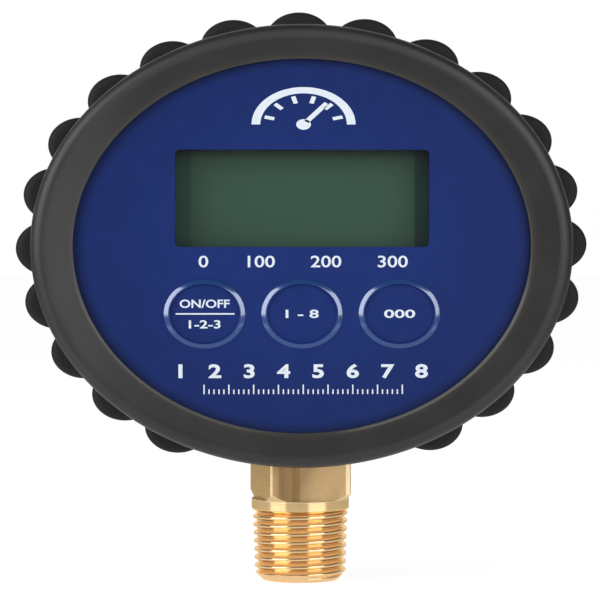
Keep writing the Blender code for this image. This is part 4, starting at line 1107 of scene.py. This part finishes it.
def letters(text, bold):
    """A flat drawing of a text, one unit high."""
    curve = bpy.data.curves.new("letters", "FONT")
    curve.body = text
    curve.size = 1.0
    curve.align_x = "CENTER"
    curve.align_y = "CENTER"
    curve.offset = bold
    curve.resolution_u = 4
    helper = added("letters", curve)
    mesh = worked_out(helper)
    bpy.data.objects.remove(helper, do_unlink=True)
    bpy.data.curves.remove(curve)
    bm = bmesh.new()
    bm.from_mesh(mesh)
    bpy.data.meshes.remove(mesh)
    return bm


def inked(name, bm, place, width, height, body="gauge"):
    """Scale a flat drawing to its width and height, thicken it and lay it on the face."""
    xs = [vert.co.x for vert in bm.verts]
    ys = [vert.co.y for vert in bm.verts]
    centre = Vector(((min(xs) + max(xs)) / 2, (min(ys) + max(ys)) / 2, 0))
    bmesh.ops.translate(bm, vec=-centre, verts=bm.verts)
    across = width * MM / (max(xs) - min(xs))
    up = height * MM / (max(ys) - min(ys))
    bmesh.ops.scale(bm, vec=(across, up, 1), verts=bm.verts)
    bmesh.ops.remove_doubles(bm, verts=bm.verts, dist=INK_WELD * MM)
    grown = bmesh.ops.extrude_face_region(bm, geom=bm.faces[:])["geom"]
    bmesh.ops.translate(bm, vec=(0, 0, INK_THICKNESS * MM), verts=verts_in(grown))
    bmesh.ops.transform(bm, matrix=FACE_TILT, verts=bm.verts)
    x, z = place
    spot = (x * MM, FACE_FRONT + INK_SUNK * MM, MIDDLE + z * MM)
    bmesh.ops.translate(bm, vec=spot, verts=bm.verts)
    return piece(name, bm, INK, body)


for name, text, bold, place, width, height, body in WORDS:
    inked(name, letters(text, bold), place, width, height, body)

# %% [markdown]
# Lines and ticks are small flat grids. The dial sign is an arc with ticks and a needle: the
# arc comes from spinning one short line through part of a turn, and each tick is the same
# line's copy turned to its place.

# %% Print: lines, ticks and the dial sign
def bars(places):
    """Flat bars in one drawing; each is (x, y, width, height, turn), in millimetres."""
    bm = bmesh.new()
    for x, y, width, height, turn in places:
        made = bmesh.ops.create_grid(bm, x_segments=1, y_segments=1, size=0.5)["verts"]
        bmesh.ops.scale(bm, vec=(width, height, 1), verts=made)
        bmesh.ops.rotate(bm, matrix=Matrix.Rotation(turn, 3, "Z"), verts=made)
        bmesh.ops.translate(bm, vec=(x, y, 0), verts=made)
    return bm


LINE_WIDTH = 8.7
LINE_HEIGHT = 0.22
inked("power_line", bars([(0, 0, LINE_WIDTH, LINE_HEIGHT, 0)]), (-KEY_PITCH + 0.05, KEY_DOWN),
      LINE_WIDTH, LINE_HEIGHT, "power_button")

TICKS = 41
TICK_PITCH = 0.74
TICK_WIDTH = 0.2
TICK_LONG = 1.4
TICK_SHORT = 0.7
RULER_PLACE = (0.15, -21.2)
RULER_WIDTH = 29.6
ticks = []
for number in range(TICKS):
    length = TICK_LONG if number % 5 == 0 else TICK_SHORT
    ticks.append(((number - (TICKS - 1) / 2) * TICK_PITCH, length / 2, TICK_WIDTH, length, 0))
inked("tick_row", bars(ticks), RULER_PLACE, RULER_WIDTH, TICK_LONG)

DIAL_RADIUS = 5.2
DIAL_LINE = 0.95
DIAL_MARKS = range(15, 180, 30)
MARK_RADIUS = 3.85
MARK_SIZE = (1.1, 0.5)
HUB_RADIUS = 0.8
NEEDLE_SIZE = (3.6, 0.6)
NEEDLE_MIDDLE = 2.3
NEEDLE_TURN = math.radians(52)
SIGN_PLACE = (0.2, 20.4)
SIGN_WIDTH = 15.4
SIGN_HEIGHT = 6.3
marks = [(math.cos(angle) * MARK_RADIUS, math.sin(angle) * MARK_RADIUS, *MARK_SIZE, angle)
         for angle in map(math.radians, DIAL_MARKS)]
sign = bars(marks)
start = [sign.verts.new((DIAL_RADIUS + side * DIAL_LINE / 2, 0, 0)) for side in (-1, 1)]
line = sign.edges.new(start)
bmesh.ops.spin(sign, geom=start + [line], cent=(0, 0, 0), axis=(0, 0, 1), angle=math.pi, steps=48)
bmesh.ops.create_circle(sign, cap_ends=True, radius=HUB_RADIUS, segments=32)
needle = bmesh.ops.create_grid(sign, x_segments=1, y_segments=1, size=0.5)["verts"]
bmesh.ops.scale(sign, vec=(*NEEDLE_SIZE, 1), verts=needle)
bmesh.ops.translate(sign, vec=(NEEDLE_MIDDLE, 0, 0), verts=needle)
bmesh.ops.rotate(sign, matrix=Matrix.Rotation(NEEDLE_TURN, 3, "Z"), verts=needle)
inked("dial_sign", sign, SIGN_PLACE, SIGN_WIDTH, SIGN_HEIGHT)

# %% [markdown]
# The set is a pale floor under the stem and two large soft lamps in front, left and right,
# which is what draws the two bright bands on the brass and the arcs on the key rims. The
# camera sees the floor and the world as plain white, and other rays get a plain grey room, so
# that colours come out about as they are written. What the gauge mirrors is white behind it
# and dim in front. The mirrored floor is brightest near the stem, dims in two steps further
# out, and has two bright pools at the sides that the collar and the thread mirror.

# %% Floor and world
ROOM_LIGHT = 0.42
ROOM_MIRRORED = 0.16
ROOM_BEHIND = (0.4, 0.9)
WHITE_LEVEL = 1.0
FLOOR_SIZE = 3.0
FLOOR_GLOW = 1.22
FLOOR_SEEN = 0.72
FLOOR_MIRRORED = 0.8
FLOOR_NEAR = 1.05
# Each step: where it starts and ends, in metres from the stem, and how much dimmer it is
FLOOR_STEPS = [(0.085, 0.10, 0.45), (0.19, 0.23, 0.35)]
# Each pool: its first and last bearing, in degrees to the right of the front, and its light
POOLS = [(-76, -32, 2.0), (15, 62, 2.2)]
POOL_SOFT = 5
POOL_FROM = (0.088, 0.098)
POOL_TO = (0.130, 0.122)


def rays(finish):
    """Two Wires: 1 for camera and transmission rays, and 1 for glossy rays."""
    light_path = finish.node("ShaderNodeLightPath").output.node
    seen, clear, glossy = [Wire(finish, light_path.outputs[kind]) for kind in
                           ("Is Camera Ray", "Is Transmission Ray", "Is Glossy Ray")]
    return seen.larger(clear), glossy


world = bpy.data.worlds.new("white_room")
bpy.context.scene.world = world
room = Finish("white_room", world)
shown, glossy = rays(room)
_, depth, _ = room.axes(room.node("ShaderNodeTexCoord", out="Generated"))
behind = depth.ramp(*ROOM_BEHIND)
mirrored = behind * WHITE_LEVEL + (1 - behind) * ROOM_MIRRORED
level = glossy * mirrored + (1 - glossy) * ROOM_LIGHT
level = shown * WHITE_LEVEL + (1 - shown) * level
sky = room.node("ShaderNodeBackground", values={"Color": (1.0, 1.0, 1.0), "Strength": level})
room.node("ShaderNodeOutputWorld", values={"Surface": sky})
print(f"world {world.name}: {len(room.tree.nodes)} nodes")

ground = Finish("floor_white")
shown, glossy = rays(ground)
grain = ground.noise(900, detail=2)
paper = ground.blend(grain, (0.86, 0.86, 0.86), (0.89, 0.89, 0.89))
matt = ground.node("ShaderNodeBsdfDiffuse", values={"Color": paper})
east, north, _ = ground.axes(ground.place())
bearing = east.bearing(0 - north)
away = (east * east + north * north).root()
near = FLOOR_NEAR - sum(away.ramp(start, end) * less for start, end, less in FLOOR_STEPS)
pools = away.ramp(*POOL_TO) * away.ramp(*POOL_FROM) * sum(
    bearing.ramp(math.radians(first), math.radians(first + POOL_SOFT))
    * bearing.ramp(math.radians(last), math.radians(last - POOL_SOFT)) * light
    for first, last, light in POOLS)
strength = shown * FLOOR_GLOW + glossy * (pools + near)
glow = ground.node("ShaderNodeEmission", values={"Color": (1.0, 1.0, 1.0), "Strength": strength})
white_floor = ground.surface(ground.mixed(shown * FLOOR_SEEN + glossy * FLOOR_MIRRORED, matt, glow))

sheet = bmesh.new()
bmesh.ops.create_grid(sheet, x_segments=1, y_segments=1, size=FLOOR_SIZE)
floor = added("floor", mesh_of("floor", sheet))
floor.data.materials.append(white_floor)

# %% [markdown]
# A lamp is a rectangle that looks at the body's middle. Each is written as its radiance, its
# angles to the side and up in degrees, its distance, and its width and height in metres.

# %% Lamps
LAMPS = {"left": (3.3, -57, 19, 0.62, 0.48, 0.58), "right": (2.8, 40, 12, 0.62, 0.44, 0.54)}

for name, (radiance, side, up, distance, width, height) in LAMPS.items():
    lamp = bpy.data.lights.new("lamp_" + name, "AREA")
    lamp.shape = "RECTANGLE"
    lamp.size = width
    lamp.size_y = height
    lamp.energy = radiance * math.pi * width * height
    holder = added("lamp_" + name, lamp)
    side, up = math.radians(side), math.radians(up)
    towards = Vector((math.sin(side) * math.cos(up), -math.cos(side) * math.cos(up), math.sin(up)))
    holder.location = Vector((0, 0, MIDDLE)) + towards * distance
    holder.rotation_euler = towards.to_track_quat("Z", "Y").to_euler()
    print(f"lamp {name}: {lamp.energy:.2f} W at {[round(value, 2) for value in holder.location]}")

# The dressed model must stay inside the box of the solids.

# %% Close
bpy.context.scene.view_settings.view_transform = "Standard"
